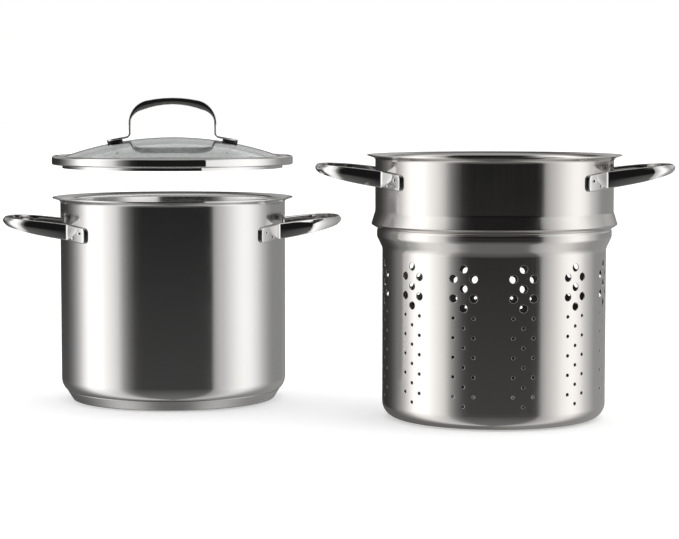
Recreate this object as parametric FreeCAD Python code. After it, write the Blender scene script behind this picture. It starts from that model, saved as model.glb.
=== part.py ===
import FreeCAD, Part
import math
import os

# A pasta pot with an encapsulated base, a perforated strainer insert and a glass lid.
# The origin is the middle of the pot's underside, +Z is up and the pot's handles lie along X.
# The lid hovers over the pot. The insert stands on the same table, in front of the pot and to its right.

# Sheet that the pot and the insert are drawn from, and the pouring rim that both have
SHEET = 0.8
WALL_RADIUS = 110.8
RIM_REACH = 7.7
RIM_ANGLE = 18.0
RIM_BEND = 3.2

# Pot
POT_HEIGHT = 200.0
POT_CORNER = 15.0
CORE_THICKNESS = 5.7
CAP_SHEET = 0.8
CAP_HEIGHT = 9.8
CAP_FOOT_INSET = 11.4
CAP_FOOT_ROUND = 2.0
CAP_LEDGE = 0.4

# Insert: its shoulder sits on the pot's rim and its bead drops into the pot's mouth
INSERT_HEIGHT = 245.0
INSERT_GAP = 98.0
INSERT_BEARING = -27.0
INSERT_TURN = -8.3
STRAINER_GAP = 5.9
STRAINER_CORNER = 14.5
STRAINER_DROP = 86.5
WAIST_RISE = 10.5
WAIST_BEND = 12.0
BEAD_CLEARANCE = 0.8
BEAD_HEIGHT = 5.5
BEAD_BEND = 6.0
UNDERCUT_DEPTH = 0.8
UNDERCUT_RISE = 2.1
UNDERCUT_BEND = 1.0
SHOULDER_REACH = 3.8
SHOULDER_ANGLE = 31.5
SHOULDER_BEND = 1.5
SHOULDER_CONE_HEIGHT = 12.2
SHOULDER_CONE_BEND = 6.0

# Perforations: groups of three staggered columns, large holes over small ones, and rings in the base
HOLE_GROUPS = 12
HOLE_STEP = 8.81
HOLE_COLUMN_GAP = 9.35
HOLE_TOP_DROP = 13.0
LARGE_HOLE = 7.3
LARGE_ROWS = 5
SMALL_HOLE = 3.0
HOLE_FOOT_MARGIN = 20.0
BASE_HOLE = 4.0
BASE_RINGS = 4
BASE_RING_STEP = 18.0
BASE_HOLES_PER_RING = 6

# Strap handles, alike on the pot and on the insert
HANDLE_REACH = 56.2
HANDLE_HALF_WIDTH = 48.0
HANDLE_THICKNESS = 3.0
HANDLE_CORNER = 30.0
HANDLE_END_RADIUS = 100.0
HANDLE_WALL_BEND = 5.0
HANDLE_TAB_END = 41.5
HANDLE_TAB_HEIGHT = 14.8
HANDLE_TAB_CORNER = 3.5
HANDLE_TIP_HEIGHT = 6.0
HANDLE_RISE = 13.7
HANDLE_TOP_BOW = 1.6
HANDLE_BOTTOM_BOW = 2.3
HANDLE_EDGE_ROUND = 1.2
POT_HANDLE_DROP = 35.3
INSERT_HANDLE_DROP = 25.0
WELD_PIT = 2.6
WELD_PIT_DEPTH = 0.5
OUTER_WELD_ANGLE = 37.7
OUTER_WELD_HEIGHT = 3.0
INNER_WELD_ANGLE = 32.3
INNER_WELD_HEIGHT = -2.0

# Lid: a steel band rolled round the edge of a glass dome
LID_RAISE = 32.0
BAND_OVERHANG = 0.25
BAND_HEIGHT = 8.8
BAND_SHEET = 0.6
BAND_TOP_WIDTH = 4.6
BAND_TOP_BEND = 2.6
BAND_FOOT_BEND = 1.4
SKIRT_CLEARANCE = 1.5
SKIRT_DEPTH = 3.4
SKIRT_BEND = 0.9
GLASS_DOME_RADIUS = 315.0
GLASS_THICKNESS = 3.5
GLASS_EDGE_INSET = 3.2
GLASS_SEAT_CLEARANCE = 0.1
LIP_REACH = 4.2
LIP_BEND = 1.6
LIP_CLEARANCE = 0.15

# Lid handle, a bow of strap with turned-down edges, and what fixes it to the glass
BOW_LEG = 43.15
BOW_TOP = 42.0
BOW_WIDTH = 20.0
BOW_THICKNESS = 1.8
BOW_ARCH = 120.0
BOW_CORNER = 22.0
BOW_FOOT_BEND = 4.0
BOW_FOOT_LENGTH = 19.4
BOW_FOOT_ROUND = 8.0
BOW_EDGE_ROUND = 0.6
BOW_LIP_SHEET = 1.6
BOW_LIP_DEPTH = 4.7
BOW_LIP_ARCH = 80.0
BOW_LIP_CORNER = 15.0
FIXING_AT = 56.5
PAD_THICKNESS = 2.2
PAD_LENGTH = 15.0
PAD_WIDTH = 17.0
PAD_ROUND = 5.0
STUD_DIAMETER = 4.0
STUD_HOLE_CLEARANCE = 0.6
THREAD_CLEARANCE = 0.05
GASKET_DIAMETER = 14.0
GASKET_THICKNESS = 1.2
WASHER_DIAMETER = 11.0
WASHER_THICKNESS = 0.8
NUT_ACROSS_FLATS = 7.0
NUT_HEIGHT = 3.2
NUT_DOME_DIAMETER = 6.6
NUT_THREAD_DEPTH = 4.6
STUD_END_GAP = 0.3

# Places worked out from the driving dimensions
ORIGIN = FreeCAD.Vector(0, 0, 0)
ALONG_X = FreeCAD.Vector(1, 0, 0)
ALONG_Y = FreeCAD.Vector(0, 1, 0)
UP = FreeCAD.Vector(0, 0, 1)
RIM_RADIUS = WALL_RADIUS + RIM_REACH
MOUTH_RADIUS = WALL_RADIUS - SHEET
POT_UNDERSIDE = CAP_SHEET + CORE_THICKNESS
STRAINER_RADIUS = MOUTH_RADIUS - STRAINER_GAP
STRAINER_TOP = INSERT_HEIGHT - STRAINER_DROP
BAND_RADIUS = RIM_RADIUS + BAND_OVERHANG
GLASS_EDGE_RADIUS = BAND_RADIUS - GLASS_EDGE_INSET
INNER_DOME_RADIUS = GLASS_DOME_RADIUS - GLASS_THICKNESS
DOME_CENTRE = BAND_SHEET + GLASS_SEAT_CLEARANCE - math.sqrt(INNER_DOME_RADIUS**2 - GLASS_EDGE_RADIUS**2)
FIXING_ANGLE = math.degrees(math.asin(FIXING_AT / GLASS_DOME_RADIUS))


def on_side(x, z):
    """A point of the XZ plane, where turned profiles and the lid's bow are drawn."""
    return FreeCAD.Vector(x, 0, z)


def on_plan(x, y):
    """A point of the XY plane, where the strap handles are drawn."""
    return FreeCAD.Vector(x, y, 0)


def draw_run(points, place):
    """A straight run through two points, or an arc through three."""
    spots = [place(*point) for point in points]
    if len(spots) == 2:
        return Part.LineSegment(*spots).toShape()
    return Part.Arc(*spots).toShape()


def bent_runs(corners):
    """Straight runs and tangent bends along a line of (x, z, bend radius) corners."""
    runs = []
    last = corners[0][:2]
    for before, corner, after in zip(corners, corners[1:], corners[2:]):
        x, z, bend = corner
        way_in = math.atan2(z - before[1], x - before[0])
        way_out = math.atan2(after[1] - z, after[0] - x)
        turn = math.remainder(way_out - way_in, math.tau)
        reach = bend * math.tan(abs(turn) / 2)
        depth = bend / math.cos(turn / 2) - bend
        inwards = way_in + turn / 2 + math.copysign(math.pi / 2, turn)
        start = (x - reach * math.cos(way_in), z - reach * math.sin(way_in))
        middle = (x + depth * math.cos(inwards), z + depth * math.sin(inwards))
        end = (x + reach * math.cos(way_out), z + reach * math.sin(way_out))
        runs.append((last, start))
        runs.append((start, middle, end))
        last = end
    runs.append((last, corners[-1][:2]))
    return runs


def shift_corners(corners, shift):
    """The same bent line moved to its left by shift, with its bends opened or closed to match."""
    ways = []
    for before, after in zip(corners, corners[1:]):
        ways.append(math.atan2(after[1] - before[1], after[0] - before[0]))
    moved = []
    for number, (x, z, bend) in enumerate(corners):
        way_in = ways[max(number - 1, 0)]
        way_out = ways[min(number, len(ways) - 1)]
        turn = math.remainder(way_out - way_in, math.tau)
        middle = way_in + turn / 2
        reach = shift / math.cos(turn / 2)
        new_bend = bend - math.copysign(1, turn) * shift
        moved.append((x - reach * math.sin(middle), z + reach * math.cos(middle), new_bend))
    return moved


def turned(runs):
    """A solid of revolution about Z from the runs of a closed outline."""
    wire = Part.Wire([draw_run(run, on_side) for run in runs])
    return Part.Face(wire).revolve(ORIGIN, UP, 360)


def turned_sheet(skin, sheet):
    """Sheet of one thickness, turned about Z, that lies to the left of its skin line."""
    back = shift_corners(skin, sheet)
    runs = bent_runs(skin)
    runs.append((skin[-1][:2], back[-1][:2]))
    runs.extend(tuple(reversed(run)) for run in reversed(bent_runs(back)))
    runs.append((back[0][:2], skin[0][:2]))
    return turned(runs)


def turned_block(skin):
    """Everything between a skin line that starts on the axis and the level where the line ends."""
    top = skin[-1][1]
    runs = bent_runs(skin)
    runs.append((skin[-1][:2], (0, top)))
    runs.append(((0, top), skin[0][:2]))
    return turned(runs)


def walk(start, heading, moves, shift):
    """Runs of a bent strip: (length,) goes straight, (radius, angle) turns, to the left if positive."""
    way = math.radians(heading)
    x = start[0] - shift * math.sin(way)
    y = start[1] + shift * math.cos(way)
    runs = []
    for move in moves:
        if len(move) == 1:
            run = [(x, y), (x + move[0] * math.cos(way), y + move[0] * math.sin(way))]
        else:
            turn = math.radians(move[1])
            radius = math.copysign(move[0], turn) - shift
            centre_x = x - radius * math.sin(way)
            centre_y = y + radius * math.cos(way)
            run = [(x, y)]
            for facing in (way + turn / 2, way + turn):
                run.append((centre_x + radius * math.sin(facing), centre_y - radius * math.cos(facing)))
            way += turn
        runs.append(tuple(run))
        x, y = run[-1]
    return runs


def mirrored_face(half, mirror_way):
    """A face whose outline is drawn on one side of a plane through the origin and mirrored to the other."""
    edges = half + [edge.mirror(ORIGIN, mirror_way) for edge in half]
    return Part.Face(Part.Wire(Part.__sortEdges__(edges)))


def strip_face(start, heading, moves, thickness, place, mirror_way):
    """The face of a bent strip that is walked from its middle to one end, and mirrored."""
    left = walk(start, heading, moves, thickness / 2)
    right = walk(start, heading, moves, -thickness / 2)
    half = [draw_run(run, place) for run in left + right]
    half.append(draw_run((left[-1][-1], right[-1][-1]), place))
    return mirrored_face(half, mirror_way)


def arch_moves(half_width, arch_radius, corner_radius, side):
    """Two bends from the middle of an arch to its leg, and how far the leg's start lies below the middle."""
    share = (half_width - corner_radius) / (arch_radius - corner_radius)
    turn = math.asin(share)
    drop = arch_radius * (1 - math.cos(turn)) + corner_radius * math.cos(turn)
    degrees = math.degrees(turn)
    return [(arch_radius, side * degrees), (corner_radius, side * (90 - degrees))], drop


def short_edges(solid, length, spot):
    """The edges no longer than a length whose two ends both satisfy a condition."""
    picked = []
    for edge in solid.Edges:
        if edge.Length < length and all(spot(vertex) for vertex in edge.Vertexes):
            picked.append(edge)
    return picked


def sharp_edges(solid):
    """The edges of a solid where two faces meet at a real corner."""
    picked = []
    for edge in solid.Edges:
        faces = solid.ancestorsOfType(edge, Part.Face)
        if len(faces) < 2:
            continue
        middle = edge.valueAt((edge.FirstParameter + edge.LastParameter) / 2)
        normals = [face.normalAt(*face.Surface.parameter(middle)) for face in faces]
        if normals[0].getAngle(normals[1]) > math.radians(30):
            picked.append(edge)
    return picked


def rim_corners(height):
    """The end of a drawn wall's skin line: the neck and the edge of the pouring rim, up to a height."""
    slope = math.radians(RIM_ANGLE)
    edge = height - SHEET * math.cos(slope)
    neck = edge - RIM_REACH * math.tan(slope)
    return [(WALL_RADIUS, neck, RIM_BEND), (RIM_RADIUS, edge, 0)]


def pot_skin():
    """The pot's outside, from the middle of its floor to the edge of its rim."""
    floor = [(0, POT_UNDERSIDE, 0), (WALL_RADIUS, POT_UNDERSIDE, POT_CORNER)]
    return floor + rim_corners(POT_HEIGHT)


def make_pot_base():
    """The heat-spreading disc and the cap pressed over it, both closed by the pot's rounded floor."""
    drop = POT_UNDERSIDE + POT_CORNER - CAP_HEIGHT
    floor_reach = WALL_RADIUS - POT_CORNER + math.sqrt(POT_CORNER**2 - drop**2)
    skin = [
        (0, 0, 0),
        (WALL_RADIUS - CAP_FOOT_INSET, 0, CAP_FOOT_ROUND),
        (floor_reach + CAP_LEDGE, CAP_HEIGHT, 0),
    ]
    cap_block = turned_block(skin)
    core_block = turned_block(shift_corners(skin, CAP_SHEET))
    pot_block = turned_block(pot_skin())
    core = cap_block.common(core_block).cut(pot_block)
    cap = cap_block.cut(core_block).cut(pot_block)
    return core, cap


def wall_punches():
    """Radial punches for the strainer's wall, group by group, in as many rows as its height takes."""
    column = math.degrees(HOLE_COLUMN_GAP / STRAINER_RADIUS)
    top_row = STRAINER_TOP - HOLE_TOP_DROP
    rows = 1 + math.floor((top_row - HOLE_FOOT_MARGIN) / HOLE_STEP)
    stroke = 8 * SHEET
    punches = []
    for group in range(HOLE_GROUPS):
        middle = (group + 0.5) * 360 / HOLE_GROUPS - 90
        for row in range(rows):
            diameter = LARGE_HOLE if row < LARGE_ROWS else SMALL_HOLE
            level = top_row - row * HOLE_STEP
            offsets = (-column, column) if row % 2 else (0,)
            for offset in offsets:
                angle = math.radians(middle + offset)
                out = FreeCAD.Vector(math.cos(angle), math.sin(angle), 0)
                foot = out * (STRAINER_RADIUS - stroke / 2) + UP * level
                punches.append(Part.makeCylinder(diameter / 2, stroke, foot, out))
    return punches


def base_punches():
    """Upright punches for the strainer's base, one in the middle and rings round it."""
    foot = UP * -SHEET
    stroke = 3 * SHEET
    punches = [Part.makeCylinder(BASE_HOLE / 2, stroke, foot, UP)]
    for ring in range(1, BASE_RINGS + 1):
        count = ring * BASE_HOLES_PER_RING
        for number in range(count):
            angle = math.tau * number / count
            place = FreeCAD.Vector(math.cos(angle), math.sin(angle), 0) * (ring * BASE_RING_STEP)
            punches.append(Part.makeCylinder(BASE_HOLE / 2, stroke, foot + place, UP))
    return punches


def make_insert_body():
    bead_radius = MOUTH_RADIUS - BEAD_CLEARANCE
    bead_bottom = STRAINER_TOP + WAIST_RISE
    bead_top = bead_bottom + BEAD_HEIGHT
    undercut_radius = bead_radius - UNDERCUT_DEPTH
    undercut_level = bead_top + UNDERCUT_RISE
    shoulder_radius = WALL_RADIUS + SHOULDER_REACH
    shoulder_rise = (shoulder_radius - undercut_radius) * math.tan(math.radians(SHOULDER_ANGLE))
    shoulder_level = undercut_level + shoulder_rise
    skin = [
        (0, 0, 0),
        (STRAINER_RADIUS, 0, STRAINER_CORNER),
        (STRAINER_RADIUS, STRAINER_TOP, WAIST_BEND),
        (bead_radius, bead_bottom, BEAD_BEND),
        (bead_radius, bead_top, BEAD_BEND / 2),
        (undercut_radius, undercut_level, UNDERCUT_BEND),
        (shoulder_radius, shoulder_level, SHOULDER_BEND),
        (WALL_RADIUS, shoulder_level + SHOULDER_CONE_HEIGHT, SHOULDER_CONE_BEND),
    ]
    shell = turned_sheet(skin + rim_corners(INSERT_HEIGHT), SHEET)
    return shell.cut(wall_punches() + base_punches())


def handle_plan():
    """The strap seen from above: a wide D whose ends turn outwards and follow the wall."""
    tab_radius = WALL_RADIUS + HANDLE_THICKNESS / 2
    bend_y = HANDLE_HALF_WIDTH + HANDLE_WALL_BEND
    bend_x = math.sqrt((tab_radius + HANDLE_WALL_BEND) ** 2 - bend_y**2)
    tab_start = math.degrees(math.atan2(bend_y, bend_x))
    tip = WALL_RADIUS + HANDLE_REACH - HANDLE_THICKNESS / 2
    moves, drop = arch_moves(HANDLE_HALF_WIDTH, HANDLE_END_RADIUS, HANDLE_CORNER, 1)
    moves.append((tip - drop - bend_x,))
    moves.append((HANDLE_WALL_BEND, tab_start - 90))
    moves.append((tab_radius, HANDLE_TAB_END - tab_start))
    return strip_face((tip, 0), 90, moves, HANDLE_THICKNESS, on_plan, ALONG_Y)


def handle_elevation():
    """The strap seen from the front: it rises and narrows from the tabs to the tip."""
    inner = WALL_RADIUS * math.cos(math.radians(HANDLE_TAB_END)) - HANDLE_THICKNESS
    outer = WALL_RADIUS + HANDLE_REACH + HANDLE_THICKNESS
    middle = (inner + outer) / 2
    tab_top = HANDLE_TAB_HEIGHT / 2
    tip_top = HANDLE_RISE + HANDLE_TIP_HEIGHT / 2
    tip_bottom = HANDLE_RISE - HANDLE_TIP_HEIGHT / 2
    top_edge = ((inner, tab_top), (middle, (tab_top + tip_top) / 2 + HANDLE_TOP_BOW), (outer, tip_top))
    low_middle = (middle, (tip_bottom - tab_top) / 2 - HANDLE_BOTTOM_BOW)
    low_edge = ((outer, tip_bottom), low_middle, (inner, -tab_top))
    runs = [top_edge, (top_edge[-1], low_edge[0]), low_edge, (low_edge[-1], top_edge[0])]
    return Part.Face(Part.Wire([draw_run(run, on_side) for run in runs]))


def weld_pits():
    """The marks that the welding tips leave in the tabs' faces, two on each tab."""
    ball = ((WELD_PIT / 2) ** 2 + WELD_PIT_DEPTH**2) / (2 * WELD_PIT_DEPTH)
    out = WALL_RADIUS + HANDLE_THICKNESS + ball - WELD_PIT_DEPTH
    pits = []
    for degrees, height in ((OUTER_WELD_ANGLE, OUTER_WELD_HEIGHT), (INNER_WELD_ANGLE, INNER_WELD_HEIGHT)):
        for angle in (math.radians(degrees), math.radians(-degrees)):
            middle = FreeCAD.Vector(out * math.cos(angle), out * math.sin(angle), height)
            pits.append(Part.makeSphere(ball, middle))
    return pits


def make_side_handle():
    """A strap handle on the +X side of a wall, with the middle of its tabs at z = 0."""
    depth = HANDLE_RISE + HANDLE_TAB_HEIGHT
    width = 4 * HANDLE_HALF_WIDTH
    upright = handle_plan().extrude(UP * (2 * depth)).translated(UP * -depth)
    sideways = handle_elevation().extrude(ALONG_Y * width).translated(ALONG_Y * (-width / 2))
    strap = upright.common(sideways)

    def at_tab_end(vertex):
        angle = math.degrees(math.atan2(abs(vertex.Y), vertex.X))
        return abs(angle - HANDLE_TAB_END) < 0.01

    corners = short_edges(strap, HANDLE_TAB_HEIGHT / 2, at_tab_end)
    strap = strap.makeFillet(HANDLE_TAB_CORNER, corners)
    edge_round = min(HANDLE_EDGE_ROUND, 0.45 * HANDLE_THICKNESS)
    strap = strap.makeFillet(edge_round, sharp_edges(strap))
    return strap.cut(weld_pits())


def make_lid_rim():
    """The band rolled round the glass, from its lip on top of the glass to the edge of its skirt."""
    skirt_radius = MOUTH_RADIUS - SKIRT_CLEARANCE
    lip_radius = GLASS_EDGE_RADIUS - LIP_REACH
    glass_top = DOME_CENTRE + math.sqrt(GLASS_DOME_RADIUS**2 - lip_radius**2)
    top_radius = BAND_RADIUS - BAND_TOP_WIDTH
    slope = math.atan2(BAND_HEIGHT - glass_top, top_radius - lip_radius)
    skin = [
        (lip_radius, glass_top + LIP_CLEARANCE + BAND_SHEET / math.cos(slope), 0),
        (top_radius, BAND_HEIGHT, LIP_BEND),
        (BAND_RADIUS, BAND_HEIGHT, BAND_TOP_BEND),
        (BAND_RADIUS, 0, BAND_FOOT_BEND),
        (skirt_radius, 0, SKIRT_BEND),
        (skirt_radius, -SKIRT_DEPTH, 0),
    ]
    return turned_sheet(skin, -BAND_SHEET)


def on_foot(shape, side):
    """A shape made round the dome's own centre and axis, swung out to the foot on one side."""
    return shape.rotated(ORIGIN, ALONG_Y, side * FIXING_ANGLE).translated(UP * DOME_CENTRE)


def make_lid_glass():
    """A shell between two spheres about one centre, with a ground edge and two holes for the studs."""
    arcs = []
    for radius in (INNER_DOME_RADIUS, GLASS_DOME_RADIUS):
        arc = []
        for reach in (0, GLASS_EDGE_RADIUS / 2, GLASS_EDGE_RADIUS):
            arc.append((reach, DOME_CENTRE + math.sqrt(radius**2 - reach**2)))
        arcs.append(tuple(arc))
    under, over = arcs
    glass = turned([under, (under[-1], over[-1]), tuple(reversed(over)), (over[0], under[0])])
    hole_radius = STUD_DIAMETER / 2 + STUD_HOLE_CLEARANCE
    hole_foot = UP * (INNER_DOME_RADIUS - GLASS_THICKNESS)
    hole = Part.makeCylinder(hole_radius, 3 * GLASS_THICKNESS, hole_foot, UP)
    return glass.cut([on_foot(hole, side) for side in (-1, 1)])


def make_lid_handle():
    """The bow: flat feet on their pads, upright legs, and an arch whose long edges are turned down."""
    angle = math.radians(FIXING_ANGLE)
    leg = BOW_LEG - BOW_THICKNESS / 2
    foot_radius = GLASS_DOME_RADIUS + PAD_THICKNESS + BOW_THICKNESS / 2
    foot_x = foot_radius * math.sin(angle)
    foot_z = DOME_CENTRE + foot_radius * math.cos(angle)
    bend_x = leg + BOW_FOOT_BEND
    bend_z = foot_z + (BOW_FOOT_BEND - (bend_x - foot_x) * math.sin(angle)) / math.cos(angle)
    top = foot_z + BOW_TOP - BOW_THICKNESS
    arch, drop = arch_moves(leg, BOW_ARCH, BOW_CORNER, -1)
    legs_and_feet = [(top - drop - bend_z,), (BOW_FOOT_BEND, 90 - FIXING_ANGLE), (BOW_FOOT_LENGTH,)]
    strip = strip_face((0, top), 0, arch + legs_and_feet, BOW_THICKNESS, on_side, ALONG_X)
    bow = strip.extrude(ALONG_Y * BOW_WIDTH).translated(ALONG_Y * (-BOW_WIDTH / 2))

    def at_foot_end(vertex):
        return abs(vertex.X) > bend_x

    corners = short_edges(bow, BOW_THICKNESS * 1.01, at_foot_end)
    bow = bow.makeFillet(min(BOW_FOOT_ROUND, 0.45 * BOW_WIDTH), corners)
    bow = bow.makeFillet(min(BOW_EDGE_ROUND, 0.4 * BOW_THICKNESS), sharp_edges(bow))

    lip_top = top - BOW_THICKNESS / 2 - BOW_LIP_DEPTH
    lip_arch, lip_drop = arch_moves(leg, BOW_LIP_ARCH, BOW_LIP_CORNER, -1)
    upper = walk((0, top), 0, arch, 0)
    lower = walk((0, lip_top), 0, lip_arch, 0)
    half = [draw_run(run, on_side) for run in upper + lower]
    half.append(draw_run((upper[-1][-1], lower[-1][-1]), on_side))
    lip = mirrored_face(half, ALONG_X).extrude(ALONG_Y * BOW_LIP_SHEET)
    front = lip.translated(ALONG_Y * (-BOW_WIDTH / 2))
    back = lip.translated(ALONG_Y * (BOW_WIDTH / 2 - BOW_LIP_SHEET))
    return bow.fuse([front, back]).removeSplitter()


def make_fixings():
    """What holds one foot of the bow, round the dome's axis: pad, stud, gasket, washer and cap nut."""
    stud_radius = STUD_DIAMETER / 2
    bore_radius = stud_radius + THREAD_CLEARANCE
    pad_top = GLASS_DOME_RADIUS + PAD_THICKNESS
    washer_top = INNER_DOME_RADIUS - GASKET_THICKNESS
    nut_top = washer_top - WASHER_THICKNESS
    nut_foot = nut_top - NUT_HEIGHT
    bore_end = nut_top - NUT_THREAD_DEPTH
    stud_end = bore_end + STUD_END_GAP
    bore = Part.makeCylinder(bore_radius, pad_top - bore_end, UP * bore_end, UP)

    corner = FreeCAD.Vector(-PAD_LENGTH / 2, -PAD_WIDTH / 2, INNER_DOME_RADIUS)
    pad = Part.makeBox(PAD_LENGTH, PAD_WIDTH, pad_top - INNER_DOME_RADIUS, corner)
    uprights = [edge for edge in pad.Edges if edge.tangentAt(edge.FirstParameter).cross(UP).Length < 0.01]
    pad = pad.makeFillet(min(PAD_ROUND, 0.45 * PAD_LENGTH, 0.45 * PAD_WIDTH), uprights)
    pad = pad.cut([Part.makeSphere(GLASS_DOME_RADIUS), bore])

    stud = Part.makeCylinder(stud_radius, pad_top - stud_end, UP * stud_end, UP)
    gasket = Part.makeCylinder(GASKET_DIAMETER / 2, 2 * GASKET_THICKNESS, UP * washer_top, UP)
    gasket = gasket.common(Part.makeSphere(INNER_DOME_RADIUS)).cut(bore)
    washer = Part.makeCylinder(WASHER_DIAMETER / 2, WASHER_THICKNESS, UP * nut_top, UP).cut(bore)

    corner_radius = NUT_ACROSS_FLATS / math.sqrt(3)
    spots = []
    for number in range(7):
        turn = math.tau * number / 6
        flat = FreeCAD.Vector(math.cos(turn), math.sin(turn), 0)
        spots.append(flat * corner_radius + UP * nut_foot)
    nut = Part.Face(Part.makePolygon(spots)).extrude(UP * NUT_HEIGHT)
    dome = Part.makeSphere(NUT_DOME_DIAMETER / 2, UP * nut_foot, UP * -1, 0, 90, 360)
    nut = nut.fuse(dome).cut(bore)
    return {"handle_pad": pad, "stud": stud, "gasket": gasket, "washer": washer, "cap_nut": nut}


def export_handles(owner, turn, lift):
    """Both handles of the pot or of the insert, welded to its wall."""
    right = make_side_handle().rotated(ORIGIN, UP, turn)
    left = right.rotated(ORIGIN, UP, 180)
    for side, handle in (("left", left), ("right", right)):
        handle.translated(lift).exportStep("parts/%s_handle_%s.step" % (owner, side))


os.makedirs("parts", exist_ok=True)

# Pot
turned_sheet(pot_skin(), SHEET).exportStep("parts/pot_body.step")
base_core, base_cap = make_pot_base()
base_core.exportStep("parts/pot_base_core.step")
base_cap.exportStep("parts/pot_base_cap.step")
export_handles("pot", 0, UP * (POT_HEIGHT - POT_HANDLE_DROP))

# Insert, standing beside the pot and turned to face the same way from the front
bearing = math.radians(INSERT_BEARING)
insert_at = FreeCAD.Vector(math.cos(bearing), math.sin(bearing), 0) * (2 * RIM_RADIUS + INSERT_GAP)
insert_body = make_insert_body().rotated(ORIGIN, UP, INSERT_TURN)
insert_body.translated(insert_at).exportStep("parts/insert_body.step")
export_handles("insert", INSERT_TURN, insert_at + UP * (INSERT_HEIGHT - INSERT_HANDLE_DROP))

# Lid, lifted off the pot
lid_at = UP * (POT_HEIGHT + LID_RAISE)
make_lid_glass().translated(lid_at).exportStep("parts/lid_glass.step")
make_lid_rim().translated(lid_at).exportStep("parts/lid_rim.step")
make_lid_handle().translated(lid_at).exportStep("parts/lid_handle.step")
for name, fixing in make_fixings().items():
    for side, way in (("left", -1), ("right", 1)):
        on_foot(fixing, way).translated(lid_at).exportStep("parts/lid_%s_%s.step" % (name, side))
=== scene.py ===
import math

import bmesh
import bpy
from mathutils import Matrix, Vector


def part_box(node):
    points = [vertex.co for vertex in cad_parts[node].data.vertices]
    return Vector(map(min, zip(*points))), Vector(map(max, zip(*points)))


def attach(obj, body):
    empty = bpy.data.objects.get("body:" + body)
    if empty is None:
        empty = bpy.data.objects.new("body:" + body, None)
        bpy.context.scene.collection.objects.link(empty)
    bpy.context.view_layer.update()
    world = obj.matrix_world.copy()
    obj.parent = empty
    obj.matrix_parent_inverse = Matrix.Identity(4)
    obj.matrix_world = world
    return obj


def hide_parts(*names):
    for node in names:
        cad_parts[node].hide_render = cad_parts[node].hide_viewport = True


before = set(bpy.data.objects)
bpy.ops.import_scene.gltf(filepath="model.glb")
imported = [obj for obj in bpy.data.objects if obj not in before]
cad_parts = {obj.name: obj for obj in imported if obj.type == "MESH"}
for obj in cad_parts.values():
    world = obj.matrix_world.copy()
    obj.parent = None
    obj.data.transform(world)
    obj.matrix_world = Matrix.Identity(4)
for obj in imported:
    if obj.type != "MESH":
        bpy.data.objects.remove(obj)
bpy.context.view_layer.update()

# Pot body: one deep cup drawn from 0.8 mm stainless sheet, with its rim flared to pour.
# The wall is polished along its height, so it mirrors the room with fine upright streaks.
# The polish ends just inside the mouth; below it the inside keeps the dull finish of the drawn sheet, painted
# a darker grey as shade inside the cup.
MM = 0.001
SHEET = 0.8 * MM
RIM_REACH = 7.7 * MM
RIM_SLOPE = math.radians(18)
RIM_BEND = 3.2 * MM
POT_CORNER = 15 * MM
MOUTH_DEPTH = 12.5 * MM
MOUTH_LEAD = 0.5 * MM
MOUTH_BEND = 30 * MM
POT_STEPS = 288
CREASE = math.radians(40)
FLOOR_FACING = 0.2
INSIDE_FACING = -0.4
POT_STEEL = "D2D1CF"
# The inside's grey is darker than the steel's: painted shade inside the cup.
POT_INSIDE_SHADE = "BCBAB7"
pot_low, pot_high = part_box("pot_body")
rim_radius = pot_high.x
wall_radius = rim_radius - RIM_REACH
pot_turns = [math.tau * step / POT_STEPS for step in range(POT_STEPS)]


def bent_line(corners, shift=0.0):
    """Points along a line of (r, z, bend) corners with round bends, moved to its left by shift."""
    bend_step = math.radians(6)
    guard = 0.3 * MM
    ways = []
    for one, two in zip(corners, corners[1:]):
        ways.append(math.atan2(two[1] - one[1], two[0] - one[0]))
    points = []
    for number, (r, z, bend) in enumerate(corners):
        way_in = ways[max(number - 1, 0)]
        way_out = ways[min(number, len(ways) - 1)]
        turn = math.remainder(way_out - way_in, math.tau)
        side = math.copysign(1, turn)
        middle = way_in + turn / 2
        reach = (side * bend if bend else shift) / math.cos(turn / 2)
        centre = Vector((r - reach * math.sin(middle), z + reach * math.cos(middle)))
        if not bend:
            points.append(centre)
            continue
        steps = max(2, math.ceil(abs(turn) / bend_step))
        radius = side * bend - shift
        arc = []
        for step in range(steps + 1):
            way = way_in + turn * step / steps
            arc.append(centre + radius * Vector((math.sin(way), -math.cos(way))))
        before = guard * Vector((math.cos(way_in), math.sin(way_in)))
        after = guard * Vector((math.cos(way_out), math.sin(way_out)))
        points.extend([arc[0] - before, *arc, arc[-1] + after])
    return points


def new_mesh(name, verts, faces=(), edges=()):
    """A mesh of points, with faces or edges between them."""
    mesh = bpy.data.meshes.new(name)
    mesh.from_pydata(verts, edges, faces)
    return mesh


def turned_mesh(name, outline, turns, middle=(0, 0), closed=True):
    """An (r, z) outline turned about an upright axis; points on the axis become poles."""
    on_axis = 0.001 * MM
    verts = []
    rings = []
    for r, z in outline:
        if r < on_axis:
            rings.append([len(verts)] * len(turns))
            verts.append((middle[0], middle[1], z))
            continue
        rings.append(range(len(verts), len(verts) + len(turns)))
        for turn in turns:
            verts.append((middle[0] + r * math.cos(turn), middle[1] + r * math.sin(turn), z))
    faces = []
    next_rings = rings[1:] + rings[:1] if closed else rings[1:]
    for low, high in zip(rings, next_rings):
        for number in range(len(turns)):
            after = (number + 1) % len(turns)
            face = tuple(dict.fromkeys((low[number], low[after], high[after], high[number])))
            if len(face) > 2:
                faces.append(face)
    return new_mesh(name, verts, faces)


def set_up(name, data):
    """An object for a mesh, a lamp or a lens, set up in the scene."""
    thing = bpy.data.objects.new(name, data)
    bpy.context.scene.collection.objects.link(thing)
    return thing


def new_piece(name, mesh, crease=CREASE):
    """An object for a mesh, shaded smooth but for its real edges."""
    mesh.shade_smooth()
    mesh.set_sharp_from_angle(angle=crease)
    return set_up(name, mesh)


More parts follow.
